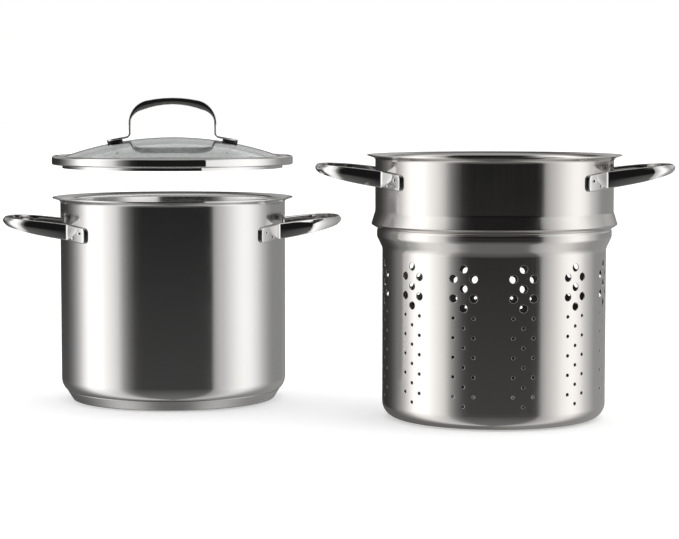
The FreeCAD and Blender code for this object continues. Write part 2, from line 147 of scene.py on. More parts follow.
def fit_piece(piece, material, body, slot, *nodes):
    """Gives a finished piece its material and its body, and hides the CAD nodes that it stands for."""
    piece.data.materials.clear()
    piece.data.materials.append(material)
    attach(piece, body)
    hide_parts(*nodes)


def paint(hex_text):
    """An sRGB hex colour as linear RGBA."""
    parts = []
    for start in (0, 2, 4):
        value = int(hex_text[start:start + 2], 16) / 255
        parts.append(value / 12.92 if value < 0.04045 else ((value + 0.055) / 1.055) ** 2.4)
    return (*parts, 1.0)


def wire(tree, node, sockets):
    """Fills sockets of a node, each with a constant, an output or another node's first output."""
    for key, value in sockets.items():
        if isinstance(value, bpy.types.Node):
            value = value.outputs[0]
        if isinstance(value, bpy.types.NodeSocket):
            tree.links.new(value, node.inputs[key])
        else:
            node.inputs[key].default_value = value


def add_node(tree, kind, sockets=None, **settings):
    """One node with its settings and links."""
    node = tree.nodes.new(kind)
    for name, value in settings.items():
        setattr(node, name, value)
    wire(tree, node, sockets or {})
    return node


def new_material(name, values):
    """A material with constants on its shader, given with its tree, its shader and its Object coordinates."""
    material = bpy.data.materials.new(name)
    material.use_nodes = True
    tree = material.node_tree
    shader = tree.nodes["Principled BSDF"]
    wire(tree, shader, values)
    place = add_node(tree, "ShaderNodeTexCoord").outputs["Object"]
    return material, tree, shader, place


def polished_steel(name, colour, smooth, rough, streak_mm, haze_mm, depth_mm, run=80):
    """Stainless steel with upright polishing streaks of a width, run and depth, under a soft haze."""
    material, tree, shader, place = new_material(name, {"Base Color": paint(colour), "Metallic": 1.0})
    least, most = 0.12, 0.42
    across = 1 / (streak_mm * MM)
    drawn = add_node(tree, "ShaderNodeMapping", {0: place, "Scale": (across, across, across / run)})
    streaks = add_node(tree, "ShaderNodeTexNoise", {0: drawn, "Scale": 1.0, "Detail": 3.0})
    haze = add_node(tree, "ShaderNodeTexNoise", {0: place, "Scale": 1 / (haze_mm * MM), "Detail": 2.0})
    mixed = add_node(tree, "ShaderNodeMath", {0: streaks, 1: haze}, operation="MULTIPLY")
    rise = add_node(tree, "ShaderNodeMapRange", {0: mixed, 1: least, 2: most, 3: smooth, 4: rough})
    bump = add_node(tree, "ShaderNodeBump", {"Height": streaks, "Distance": depth_mm * MM})
    wire(tree, shader, {"Roughness": rise, "Normal": bump})
    return material


def tone_marked(material, mark, plain, marked):
    """Gives the faces that carry a mark a second colour, and returns the mark's output."""
    tree = material.node_tree
    share = add_node(tree, "ShaderNodeAttribute", attribute_name=mark).outputs["Fac"]
    tone = add_node(tree, "ShaderNodeMix", {0: share, 6: paint(plain), 7: paint(marked)}, data_type="RGBA")
    wire(tree, tree.nodes["Principled BSDF"], {"Base Color": tone.outputs[2]})
    return share


def dull_shaded_inside(material, plain, inside, rough):
    """Makes the marked inside of a vessel dull, as the drawn sheet is, and paints it a darker grey as shade.
    """
    within = tone_marked(material, "inside", plain, inside)
    tree = material.node_tree
    shader = tree.nodes["Principled BSDF"]
    polish = shader.inputs["Roughness"].links[0].from_socket
    dull = add_node(tree, "ShaderNodeMix", {0: within, 2: polish, 3: rough})
    wire(tree, shader, {"Roughness": dull})


def mark_inside(mesh, middle, floor_top, top):
    """Marks the faces inside a drawn vessel up to a height, which aren't polished after the drawing and are
    painted darker as shade.
    """
    marks = mesh.attributes.new("inside", "FLOAT", "FACE")
    for face in mesh.polygons:
        out = Vector((face.center.x - middle.x, face.center.y - middle.y, 0)).normalized()
        on_floor = face.normal.z > FLOOR_FACING and face.center.z < floor_top
        on_wall = face.normal.dot(out) < INSIDE_FACING and face.center.z < top
        marks.data[face.index].value = 1.0 if on_floor or on_wall else 0.0


def rim_corners(top, lead=0.0):
    """The end of a drawn wall's skin: the foot of any lead in its mouth, its neck and the rim's edge."""
    edge = top - SHEET * math.cos(RIM_SLOPE)
    neck = (wall_radius + lead, edge - (RIM_REACH - lead) * math.tan(RIM_SLOPE), RIM_BEND)
    foot = [(wall_radius, top - MOUTH_DEPTH, MOUTH_BEND)] if lead else []
    return foot + [neck, (rim_radius, edge, 0)]


# Polished drawn steel: clear but softened mirror images, drawn out by fine upright streaks.
# The streaks are really about 0.05 mm wide, and are drawn at 1.1 mm so that they show.
pot_steel = polished_steel(
    "polished stainless steel, pot", POT_STEEL,
    smooth=0.10, rough=0.17, streak_mm=1.1, haze_mm=60, depth_mm=0.002)
# The inside is dull, and painted a darker grey as shade.
dull_shaded_inside(pot_steel, POT_STEEL, POT_INSIDE_SHADE, rough=0.34)
# The mouth opens slightly inside, so that the polished wall there mirrors the room and not the pot.
pot_cup = [(0, pot_low.z, 0), (wall_radius, pot_low.z, POT_CORNER)]
pot_skin = bent_line(pot_cup + rim_corners(pot_high.z))
pot_back = bent_line(pot_cup + rim_corners(pot_high.z, MOUTH_LEAD), SHEET)
pot_outline = pot_skin + pot_back[::-1]
pot_body = new_piece("drawn_pot", turned_mesh("drawn_pot", pot_outline, pot_turns))
mark_inside(pot_body.data, Vector((0, 0, 0)), pot_low.z + POT_CORNER, pot_high.z - MOUTH_DEPTH)
fit_piece(pot_body, pot_steel, "pot", "drawn_steel", "pot_body")

# Base: an aluminium disc that spreads the heat, under a steel cap pressed up round it.
# The cap is turned to a satin finish, and its edge leaves a fine seam on the pot's wall.
CAP_SHEET = 0.8 * MM
CAP_FOOT_INSET = 11.4 * MM
CAP_FOOT_ROUND = 2.0 * MM
CAP_LIP_ROUND = 0.25 * MM
CAP_LIP_BACK = 1.2 * CAP_SHEET
cap_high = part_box("pot_base_cap")[1]


def turned_metal(name, colour, smooth, rough, line_mm, depth_mm):
    """Metal finished on a lathe: fine lines round the upright axis, drawn by radius and height."""
    material, tree, shader, place = new_material(name, {"Base Color": paint(colour), "Metallic": 1.0})
    least, most = 0.3, 0.7
    parts = add_node(tree, "ShaderNodeSeparateXYZ", {0: place}).outputs
    flat = add_node(tree, "ShaderNodeCombineXYZ", {0: parts[0], 1: parts[1]})
    radius = add_node(tree, "ShaderNodeVectorMath", {0: flat}, operation="LENGTH")
    spread = add_node(tree, "ShaderNodeCombineXYZ", {0: radius.outputs["Value"], 1: parts[2]})
    lines = add_node(tree, "ShaderNodeTexNoise", {0: spread, "Scale": 1 / (line_mm * MM)})
    rise = add_node(tree, "ShaderNodeMapRange", {0: lines, 1: least, 2: most, 3: smooth, 4: rough})
    bump = add_node(tree, "ShaderNodeBump", {"Height": lines, "Distance": depth_mm * MM})
    wire(tree, shader, {"Roughness": rise, "Normal": bump})
    return material


def paint_node(node, material):
    """Gives a CAD node that stays its finish."""
    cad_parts[node].data.materials.clear()
    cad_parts[node].data.materials.append(material)


# Satin from the lathe: soft reflections drawn out across lines that run round the cap.
# The lines are really about 0.1 mm apart, and are drawn at 0.6 mm so that they show.
satin_steel = turned_metal(
    "satin turned stainless steel", "C8C7C5", smooth=0.20, rough=0.30, line_mm=0.6, depth_mm=0.008)
# The disc is dull and paler than the steel, as aluminium leaves the rolls.
core_aluminium = turned_metal(
    "rolled aluminium", "D9DADC", smooth=0.35, rough=0.5, line_mm=0.9, depth_mm=0.01)
cap_foot = wall_radius - CAP_FOOT_INSET
cap_skin = [
    (0, 0, 0),
    (cap_foot, 0, CAP_FOOT_ROUND),
    (cap_high.x, cap_high.z, CAP_LIP_ROUND),
    (cap_high.x - CAP_SHEET, cap_high.z, 0),
]
cap_back = [
    (cap_high.x - CAP_LIP_BACK, cap_high.z - CAP_SHEET),
    (cap_foot - CAP_SHEET, CAP_SHEET),
    (0, CAP_SHEET),
]
base_cap = new_piece("base_cap", turned_mesh("base_cap", bent_line(cap_skin) + cap_back, pot_turns))
fit_piece(base_cap, satin_steel, "pot", "satin_steel", "pot_base_cap")
paint_node("pot_base_core", core_aluminium)

# Side handles: straps of 3 mm stainless bar, bent to a D and polished bright, with slightly crowned faces.
# The tabs follow the wall and are spot-welded to it; each weld leaves a small pit in the tab's face.
HANDLE_REACH = 56.2 * MM
HANDLE_HALF_WIDTH = 48 * MM
HANDLE_THICKNESS = 3 * MM
HANDLE_CORNER = 30 * MM
HANDLE_END_RADIUS = 100 * MM
HANDLE_WALL_BEND = 5 * MM
HANDLE_TAB_END = math.radians(41.5)
HANDLE_TAB_HEIGHT = 14.8 * MM
HANDLE_TAB_CORNER = 3.5 * MM
HANDLE_TIP_HEIGHT = 6.0 * MM
HANDLE_RISE = 13.7 * MM
HANDLE_TOP_BOW = 1.6 * MM
HANDLE_BOTTOM_BOW = 2.3 * MM
HANDLE_EDGE_ROUND = 1.2 * MM
HANDLE_TAB_CROWN = 0.15 * MM
HANDLE_TIP_CROWN = 2.1 * MM
TAB_END_SHARES = (0.75, 0.5, 0.3, 0.16, 0.08, 0.03, 0.0)
TAB_END_ROLL = 0.16
TAB_END_THIN = 0.8
FACE_STEPS = 12
EDGE_STEPS = 8
POT_HANDLE_DROP = 35.3 * MM
INSERT_HANDLE_DROP = 25 * MM
INSERT_TURN = math.radians(-8.3)
WELD_PIT = 2.6 * MM
WELD_PIT_DEPTH = 0.5 * MM
WELDS = ((37.7, 3.0 * MM), (32.3, -2.0 * MM))
BALL_RINGS = 12
BALL_STEPS = 20
BRIGHT_STEEL = "DAD9D7"
WELD_PIT_TONE = "2E2A27"
insert_low, insert_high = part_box("insert_body")
insert_middle = (insert_low + insert_high) / 2


def walked(start, heading, moves):
    """Points and headings along a path of straight runs (length, 0) and bends (radius, turn)."""
    turn_step = math.radians(4)
    run_step = 4 * MM
    spots = [(Vector(start), heading)]
    for size, turn in moves:
        spot, way = spots[-1]
        steps = max(2, math.ceil(abs(turn) / turn_step if turn else size / run_step))
        for step in range(1, steps + 1):
            facing = way + turn * step / steps
            if turn:
                arc = Vector((math.sin(facing) - math.sin(way), math.cos(way) - math.cos(facing)))
                spots.append((spot + math.copysign(size, turn) * arc, facing))
            else:
                spots.append((spot + size * step / steps * Vector((math.cos(way), math.sin(way))), way))
    return spots


def arch_moves(half_width, arch_radius, corner_radius, side):
    """Two bends from the middle of an arch to its leg, and the leg's start below the middle."""
    turn = math.asin((half_width - corner_radius) / (arch_radius - corner_radius))
    drop = arch_radius * (1 - math.cos(turn)) + corner_radius * math.cos(turn)
    return [(arch_radius, side * turn), (corner_radius, side * (math.pi / 2 - turn))], drop


def swept_mesh(name, rings):
    """A closed skin through rings of points, with its ends capped and its normals outwards."""
    mesh = bpy.data.meshes.new(name)
    build = bmesh.new()
    loops = [[build.verts.new(point) for point in ring] for ring in rings]
    for low, high in zip(loops, loops[1:]):
        for number in range(len(low)):
            build.faces.new((low[number - 1], low[number], high[number], high[number - 1]))
    build.faces.new(loops[0])
    build.faces.new(loops[-1])
    bmesh.ops.recalc_face_normals(build, faces=build.faces)
    build.to_mesh(mesh)
    build.free()
    return mesh


def strap_rings():
    """Rings of the right handle, from one tab's end round the tip to the other's, tabs at z = 0."""
    tab_radius = wall_radius + HANDLE_THICKNESS / 2
    bend_y = HANDLE_HALF_WIDTH + HANDLE_WALL_BEND
    bend_x = math.sqrt((tab_radius + HANDLE_WALL_BEND) ** 2 - bend_y**2)
    tab_start = math.atan2(bend_y, bend_x)
    tip = wall_radius + HANDLE_REACH - HANDLE_THICKNESS / 2
    moves, drop = arch_moves(HANDLE_HALF_WIDTH, HANDLE_END_RADIUS, HANDLE_CORNER, 1)
    round_start = HANDLE_TAB_END - HANDLE_TAB_CORNER / tab_radius
    moves += [(tip - drop - bend_x, 0), (HANDLE_WALL_BEND, tab_start - math.pi / 2)]
    moves.append((tab_radius, round_start - tab_start))
    stations = [(spot, way, 0.0, 1.0) for spot, way in walked((tip, 0), math.pi / 2, moves)]
    for share in TAB_END_SHARES:
        left = share * HANDLE_TAB_CORNER
        turn = HANDLE_TAB_END - left / tab_radius
        spot = tab_radius * Vector((math.cos(turn), math.sin(turn)))
        cut = HANDLE_TAB_CORNER - math.sqrt(HANDLE_TAB_CORNER**2 - (HANDLE_TAB_CORNER - left) ** 2)
        thick = TAB_END_THIN + (1 - TAB_END_THIN) * math.sqrt(min(1.0, share / TAB_END_ROLL))
        stations.append((spot, turn + math.pi / 2, cut, thick))

    inner = wall_radius * math.cos(HANDLE_TAB_END) - HANDLE_THICKNESS
    outer = wall_radius + HANDLE_REACH + HANDLE_THICKNESS
    tab_top = HANDLE_TAB_HEIGHT / 2
    tip_half = HANDLE_TIP_HEIGHT / 2
    half_rings = []
    for spot, way, cut, thick in stations:
        share = (spot.x - inner) / (outer - inner)
        bow = 4 * share * (1 - share)
        high = tab_top + share * (HANDLE_RISE + tip_half - tab_top) + bow * HANDLE_TOP_BOW - cut
        low = -tab_top + share * (HANDLE_RISE - tip_half + tab_top) - bow * HANDLE_BOTTOM_BOW + cut
        arm = min(1.0, max(0.0, (spot.x - bend_x) / (tip - bend_x)))
        crown = HANDLE_TAB_CROWN + arm * (HANDLE_TIP_CROWN - HANDLE_TAB_CROWN)
        face = thick * HANDLE_THICKNESS / 2 - crown
        back = HANDLE_TAB_CROWN - thick * HANDLE_THICKNESS / 2
        edge_round = HANDLE_EDGE_ROUND * (face - back) / HANDLE_THICKNESS
        middle = (high + low) / 2
        flat = (high - low) / 2 - edge_round
        ring = []
        for side, edge, bulge in ((1, face, crown), (-1, back, HANDLE_TAB_CROWN)):
            for step in range(FACE_STEPS + 1):
                rise = side * (2 * step / FACE_STEPS - 1)
                ring.append((edge + side * bulge * (1 - rise**2), middle + flat * rise))
            for step in range(1, EDGE_STEPS):
                turn = math.pi * step / EDGE_STEPS
                across = (face + back) / 2 + side * (face - back) / 2 * math.cos(turn)
                ring.append((across, middle + side * (flat + edge_round * math.sin(turn))))
        out = Vector((math.sin(way), -math.cos(way)))
        half_rings.append([(*(spot + across * out), rise) for across, rise in ring])
    mirrored = [[(x, -y, z) for x, y, z in ring] for ring in half_rings]
    return half_rings[:0:-1] + mirrored


def new_tree(name, inputs):
    """A node tree with geometry in and out and named inputs, and the outputs that give them."""
    tree = bpy.data.node_groups.new(name, "GeometryNodeTree")
    for label, kind in [("Geometry", "Geometry")] + inputs:
        tree.interface.new_socket(label, in_out="INPUT", socket_type="NodeSocket" + kind)
    tree.interface.new_socket("Geometry", in_out="OUTPUT", socket_type="NodeSocketGeometry")
    return tree, add_node(tree, "NodeGroupInput").outputs


def set_on_places(tree, places, thing):
    """Sets a thing on every place of an object, along the axis that the place carries."""
    spots = add_node(tree, "GeometryNodeObjectInfo", {"Object": places}).outputs["Geometry"]
    axis = add_node(tree, "GeometryNodeInputNamedAttribute", {"Name": "axis"}, data_type="FLOAT_VECTOR")
    turn = add_node(tree, "FunctionNodeAlignRotationToVector", {"Vector": axis}, axis="Z")
    things = add_node(tree, "GeometryNodeInstanceOnPoints", {
        "Points": spots, "Instance": thing, "Rotation": turn})
    return add_node(tree, "GeometryNodeRealizeInstances", {0: things})


def end_tree(tree, result, finish):
    """Ends a node tree with the finish of its result."""
    done = add_node(tree, "GeometryNodeSetMaterial", {0: result, "Material": finish})
    add_node(tree, "NodeGroupOutput", {0: done})


def punch_tree():
    """Sets a tool on every place and cuts it out of the piece, with the cut faces marked."""
    tree, start = new_tree("Punched places", [
        ("Places", "Object"), ("Tool", "Object"), ("Finish", "Material")])
    tool = add_node(tree, "GeometryNodeObjectInfo", {"Object": start["Tool"]}).outputs["Geometry"]
    tools = set_on_places(tree, start["Places"], tool)
    marked = add_node(tree, "GeometryNodeStoreNamedAttribute", {
        0: tools, "Name": "cut", "Value": 1.0}, data_type="FLOAT", domain="FACE")
    cut = add_node(tree, "GeometryNodeMeshBoolean", {
        "Mesh 1": start["Geometry"], "Mesh 2": marked}, operation="DIFFERENCE", solver="MANIFOLD")
    end_tree(tree, cut, start["Finish"])
    return tree


def run_tree(piece, tree, values):
    """Runs a node tree on a piece with named inputs and keeps the result as a plain mesh."""
    modifier = piece.modifiers.new(tree.name, "NODES")
    modifier.node_group = tree
    for socket in tree.interface.items_tree:
        if socket.in_out == "INPUT" and socket.name in values:
            modifier[socket.identifier] = values[socket.name]
    evaluated = piece.evaluated_get(bpy.context.evaluated_depsgraph_get())
    mesh = bpy.data.meshes.new_from_object(evaluated)
    piece.modifiers.clear()
    piece.data = mesh
    mesh.shade_smooth()
    mesh.set_sharp_from_angle(angle=CREASE)


def places_object(name, spots):
    """Points that carry an axis each, for a node tree to set tools or fasteners on."""
    mesh = new_mesh(name, [spot for spot, axis in spots])
    axes = mesh.attributes.new("axis", "FLOAT_VECTOR", "POINT")
    for number, (spot, axis) in enumerate(spots):
        axes.data[number].vector = axis
    return new_piece(name, mesh)


def weld_places(ball):
    """Middles of the balls that press the weld pits into the two tabs."""
    spots = []
    for degrees, height in WELDS:
        for angle in (math.radians(degrees), -math.radians(degrees)):
            out = Vector((math.cos(angle), math.sin(angle), 0))
            reach = wall_radius + HANDLE_THICKNESS + ball - WELD_PIT_DEPTH
            spots.append((reach * out + Vector((0, 0, height)), out))
    return spots


def clear_away(*helpers):
    """Removes tools and places that have done their work."""
    for helper in helpers:
        bpy.data.objects.remove(helper)


# Mirror polish: the streaks are too fine to see, and only a faint haze breaks the reflections.
bright_steel = polished_steel(
    "bright polished stainless steel", BRIGHT_STEEL,
    smooth=0.04, rough=0.08, streak_mm=0.5, haze_mm=40, depth_mm=0.0002, run=1)
# The weld pits are coloured a dark brown-grey, so they read as dark points.
tone_marked(bright_steel, "cut", BRIGHT_STEEL, WELD_PIT_TONE)
weld_ball = ((WELD_PIT / 2) ** 2 + WELD_PIT_DEPTH**2) / (2 * WELD_PIT_DEPTH)
ball_outline = []
for step in range(BALL_RINGS + 1):
    turn = math.pi * step / BALL_RINGS
    ball_outline.append((weld_ball * math.sin(turn), -weld_ball * math.cos(turn)))
ball_turns = [math.tau * step / BALL_STEPS for step in range(BALL_STEPS)]
ball_tool = new_piece("weld_tip", turned_mesh("weld_tip", ball_outline, ball_turns))
punch = punch_tree()
strap = new_piece("strap", swept_mesh("strap", strap_rings()))
welds = places_object("weld_places", weld_places(weld_ball))
run_tree(strap, punch, {"Places": welds, "Tool": ball_tool, "Finish": bright_steel})
for owner, middle, drop, turn in (
    ("pot", Vector((0, 0, pot_high.z)), POT_HANDLE_DROP, 0.0),
    ("insert", Vector((insert_middle.x, insert_middle.y, insert_high.z)), INSERT_HANDLE_DROP, INSERT_TURN),
):
    for side, half_turn in (("left", math.pi), ("right", 0.0)):
        name = f"{owner}_strap_{side}"
        mesh = strap.data.copy()
        mesh.transform(Matrix.Rotation(half_turn + turn, 4, "Z"))
        mesh.transform(Matrix.Translation(middle - Vector((0, 0, drop))))
        fit_piece(new_piece(name, mesh), bright_steel, owner, "bright_steel", f"{owner}_handle_{side}")
clear_away(strap, welds, ball_tool)

# Strainer insert: a second cup drawn from 0.8 mm stainless sheet, with a shoulder that sits on the pot's rim.
# Its lower wall is punched from outside in twelve groups, large holes over small ones.
# Its base is punched in rings; a bead, an undercut and a cone form the shoulder above the strainer.
STRAINER_GAP = 5.9 * MM
STRAINER_CORNER = 14.5 * MM
STRAINER_DROP = 86.5 * MM
WAIST_RISE = 10.5 * MM
WAIST_BEND = 12 * MM
BEAD_CLEARANCE = 0.8 * MM
BEAD_HEIGHT = 5.5 * MM
BEAD_BEND = 6 * MM
UNDERCUT_DEPTH = 0.8 * MM
UNDERCUT_RISE = 2.1 * MM
UNDERCUT_BEND = 1.0 * MM
SHOULDER_REACH = 3.8 * MM
SHOULDER_SLOPE = math.radians(31.5)
SHOULDER_BEND = 1.5 * MM
SHOULDER_CONE_HEIGHT = 12.2 * MM
SHOULDER_CONE_BEND = 6 * MM
HOLE_GROUPS = 12
COLUMNS = 3
FIRST_GROUP = math.radians(-75)
ROW_STEP = 8.81 * MM
COLUMN_GAP = 9.35 * MM
TOP_ROW_DROP = 13 * MM
ROWS = 15
LARGE_ROWS = 5
LARGE_HOLE = 7.3 * MM
SMALL_HOLE = 3.0 * MM
EDGE_ROLL = 0.4 * MM
EDGE_ROLL_STEPS = ((0.55, 0.06), (0.2, 0.2), (0.0, 0.45))
BASE_HOLE = 4.0 * MM
BASE_RINGS = 4
BASE_RING_STEP = 18 * MM
BASE_RING_HOLES = 6
PUNCH_STEPS = 20
PUNCH_LENGTH = 6 * SHEET
SEWN_WITHIN = 0.04 * MM
ON_WALL_WITHIN = 0.02 * MM
TILE_ACROSS = 3
TILE_UP = 6
GAP_ACROSS = 6
INSERT_STEEL = "D3D0CC"
# The insert's inside is a darker grey than its steel: painted shade inside the cup.
INSERT_INSIDE_SHADE = "A8A6A3"
strainer_radius = wall_radius - SHEET - STRAINER_GAP
group_pitch = math.tau * strainer_radius / HOLE_GROUPS
gap_width = group_pitch - COLUMNS * COLUMN_GAP


def insert_skin(lead=0.0):
    """The insert's skin from the middle of its base to the edge of its rim, with any lead in its mouth."""
    bead_radius = wall_radius - SHEET - BEAD_CLEARANCE
    strainer_top = insert_high.z - STRAINER_DROP
    bead_top = strainer_top + WAIST_RISE + BEAD_HEIGHT
    undercut_radius = bead_radius - UNDERCUT_DEPTH
    undercut = bead_top + UNDERCUT_RISE
    shoulder_radius = wall_radius + SHOULDER_REACH
    shoulder = undercut + (shoulder_radius - undercut_radius) * math.tan(SHOULDER_SLOPE)
    return [
        (0, 0, 0),
        (strainer_radius, 0, STRAINER_CORNER),
        (strainer_radius, strainer_top, WAIST_BEND),
        (bead_radius, bead_top - BEAD_HEIGHT, BEAD_BEND),
        (bead_radius, bead_top, BEAD_BEND / 2),
        (undercut_radius, undercut, UNDERCUT_BEND),
        (shoulder_radius, shoulder, SHOULDER_BEND),
        (wall_radius, shoulder + SHOULDER_CONE_HEIGHT, SHOULDER_CONE_BEND),
    ] + rim_corners(insert_high.z, lead)


def sheet_tile(name, width, height, across, up, hole=0.0):
    """A flat tile of punched or plain sheet, outside up, whose border has evenly spaced points."""
    sides = (((-0.5, -0.5), (1, 0), across), ((0.5, -0.5), (0, 1), up))
    sides += (((0.5, 0.5), (-1, 0), across), ((-0.5, 0.5), (0, -1), up))
    border = []
    for (x, y), (dx, dy), steps in sides:
        corner = Vector((x * width, y * height, 0))
        run = Vector((dx * width, dy * height, 0))
        border.extend(corner + run * step / steps for step in range(steps))
    verts = []
    faces = []
    if hole:
        count = len(border)
        first = -math.pi / 2 - math.pi * across / count
        circle = [first + math.tau * step / count for step in range(count)]
        circle = [Vector((math.cos(turn), math.sin(turn), 0)) for turn in circle]
        depth = Vector((0, 0, -SHEET))
        radius = hole / 2
        loops = [border, [(radius + EDGE_ROLL) * point for point in circle]]
        for share, sink in EDGE_ROLL_STEPS:
            loops.append([(radius + share * EDGE_ROLL) * point + sink * depth for point in circle])
        loops.append([radius * point + depth for point in circle])
        loops.append([point + depth for point in border])
        for loop in loops:
            verts.extend(loop)
        for number in range(len(loops) - 1):
            for step in range(count):
                after = (step + 1) % count
                low, high = number * count, (number + 1) * count
                faces.append((low + step, low + after, high + after, high + step))
    else:
        for z in (0, -SHEET):
            start = len(verts)
            for row in range(up + 1):
                for column in range(across + 1):
                    verts.append(((column / across - 0.5) * width, (row / up - 0.5) * height, z))
            for row in range(up):
                for column in range(across):
                    corner = start + row * (across + 1) + column
                    face = (corner, corner + 1, corner + across + 2, corner + across + 1)
                    faces.append(face[::-1] if z else face)
    return set_up(name, new_mesh(name, verts, faces))


def strainer_tree():
    """Lays punched tiles out flat in groups, bends them round the skin line and punches the base."""
    parts = ("Large Tile", "Small Tile", "Half Tile", "Gap Tile", "Skin Line")
    sizes = ("Row Step", "Column Gap", "Group Pitch", "Wall Radius", "Top Row", "First Group")
    sizes += ("Base Hole", "Base Ring Step")
    inputs = [("Steel", "Material"), ("Groups", "Int"), ("Middle", "Vector")]
    inputs += [(name, "Object") for name in parts] + [(name, "Float") for name in sizes]
    tree, start = new_tree("Strainer perforations", inputs)
    tiles = {}
    for name in parts:
        tiles[name] = add_node(tree, "GeometryNodeObjectInfo", {"Object": start[name]}).outputs["Geometry"]
    index = add_node(tree, "GeometryNodeInputIndex")
    group = add_node(tree, "GeometryNodeJoinGeometry")

    # Columns of tiles: across in column gaps, first row, count, rows between tiles, and how many are large
    half_count = (ROWS + 1) // 2
    columns = [(0, 0, half_count, 2, (LARGE_ROWS + 1) // 2)]
    columns += [(side, 1, half_count - 1, 2, LARGE_ROWS // 2) for side in (-1, 1)]
    columns += [(side, -0.5, 2, ROWS, 0) for side in (-1, 1)]
    columns.append((None, 0, half_count, 2, 0))
    for across, first, count, stride, large in columns:
        if across is None:
            x = add_node(tree, "ShaderNodeMath", {0: start["Group Pitch"], 1: 0.5}, operation="MULTIPLY")
        else:
            x = add_node(tree, "ShaderNodeMath", {0: start["Column Gap"], 1: across}, operation="MULTIPLY")
        y = add_node(tree, "ShaderNodeMath", {0: start["Row Step"], 1: -first}, operation="MULTIPLY")
        down = add_node(tree, "ShaderNodeMath", {0: start["Row Step"], 1: -stride}, operation="MULTIPLY")
        head = add_node(tree, "ShaderNodeCombineXYZ", {0: x, 1: y})
        step = add_node(tree, "ShaderNodeCombineXYZ", {1: down})
        line = add_node(tree, "GeometryNodeMeshLine", {
            "Count": count, "Start Location": head, "Offset": step})
        is_large = add_node(tree, "ShaderNodeMath", {0: index, 1: large}, operation="LESS_THAN")
        is_small = add_node(tree, "ShaderNodeMath", {0: 1.0, 1: is_large}, operation="SUBTRACT")
        plain = "Gap Tile" if across is None else "Half Tile"
        kinds = [("Large Tile", is_large), ("Small Tile", is_small)] if large else [(plain, is_small)]
        for kind, chosen in kinds:
            laid = add_node(tree, "GeometryNodeInstanceOnPoints", {
                "Points": line, "Selection": chosen, "Instance": tiles[kind]})
            wire(tree, group, {0: laid})

    # All groups side by side, still flat
    pitch = add_node(tree, "ShaderNodeCombineXYZ", {0: start["Group Pitch"]})
    groups = add_node(tree, "GeometryNodeMeshLine", {"Count": start["Groups"], "Offset": pitch})
    laid = add_node(tree, "GeometryNodeInstanceOnPoints", {"Points": groups, "Instance": group})
    flat = add_node(tree, "GeometryNodeRealizeInstances", {0: laid})

    # Bend: across becomes an angle, up becomes a length along the skin line, depth follows its normal
    spot = add_node(tree, "GeometryNodeInputPosition")
    x, y, depth = add_node(tree, "ShaderNodeSeparateXYZ", {0: spot}).outputs
    turn = add_node(tree, "ShaderNodeMath", {0: x, 1: start["Wall Radius"]}, operation="DIVIDE")
    turn = add_node(tree, "ShaderNodeMath", {0: turn, 1: start["First Group"]}, operation="ADD")
    length = add_node(tree, "ShaderNodeMath", {0: y, 1: start["Top Row"]}, operation="ADD")
    skin = add_node(tree, "GeometryNodeMeshToCurve", {0: tiles["Skin Line"]})
    sample = add_node(tree, "GeometryNodeSampleCurve", {
        "Curves": skin, "Length": length}, mode="LENGTH")
    on_skin = add_node(tree, "ShaderNodeSeparateXYZ", {0: sample.outputs["Position"]}).outputs
    heading = add_node(tree, "ShaderNodeSeparateXYZ", {0: sample.outputs["Tangent"]}).outputs
    radius = add_node(tree, "ShaderNodeMath", {
        0: heading[2], 1: depth, 2: on_skin[0]}, operation="MULTIPLY_ADD")
    sunk = add_node(tree, "ShaderNodeMath", {0: heading[0], 1: depth}, operation="MULTIPLY")
    level = add_node(tree, "ShaderNodeMath", {0: on_skin[2], 1: sunk}, operation="SUBTRACT")
    east = add_node(tree, "ShaderNodeMath", {0: turn}, operation="COSINE")
    north = add_node(tree, "ShaderNodeMath", {0: turn}, operation="SINE")
    east = add_node(tree, "ShaderNodeMath", {0: east, 1: radius}, operation="MULTIPLY")
    north = add_node(tree, "ShaderNodeMath", {0: north, 1: radius}, operation="MULTIPLY")
    bent = add_node(tree, "ShaderNodeCombineXYZ", {0: east, 1: north, 2: level})
    placed = add_node(tree, "ShaderNodeVectorMath", {0: bent, 1: start["Middle"]}, operation="ADD")
    wall = add_node(tree, "GeometryNodeSetPosition", {0: flat, "Position": placed})

    # Joined to the turned base, shoulder and rim along shared edges
    shell = add_node(tree, "GeometryNodeJoinGeometry")
    for part in (start["Geometry"], wall):
        wire(tree, shell, {0: part})
    sewn = add_node(tree, "GeometryNodeMergeByDistance", {0: shell, "Distance": SEWN_WITHIN})

    # Punches for the base: one in the middle and rings round it
    rings = add_node(tree, "GeometryNodeJoinGeometry")
    for ring in range(BASE_RINGS + 1):
        reach = add_node(tree, "ShaderNodeMath", {0: start["Base Ring Step"], 1: ring}, operation="MULTIPLY")
        circle = add_node(tree, "GeometryNodeMeshCircle", {
            "Vertices": max(BASE_RING_HOLES * ring, 3), "Radius": reach})
        sole = add_node(tree, "GeometryNodeMergeByDistance", {0: circle})
        wire(tree, rings, {0: sole})
    under = add_node(tree, "GeometryNodeTransform", {0: rings, "Translation": start["Middle"]})
    hole = add_node(tree, "ShaderNodeMath", {0: start["Base Hole"], 1: 0.5}, operation="MULTIPLY")
    rod = add_node(tree, "GeometryNodeMeshCylinder", {
        "Vertices": PUNCH_STEPS, "Radius": hole, "Depth": PUNCH_LENGTH})
    rods = add_node(tree, "GeometryNodeInstanceOnPoints", {"Points": under, "Instance": rod})
    punches = add_node(tree, "GeometryNodeRealizeInstances", {0: rods})
    punched = add_node(tree, "GeometryNodeMeshBoolean", {
        "Mesh 1": sewn, "Mesh 2": punches}, operation="DIFFERENCE", solver="MANIFOLD")
    end_tree(tree, punched, start["Steel"])
    return tree


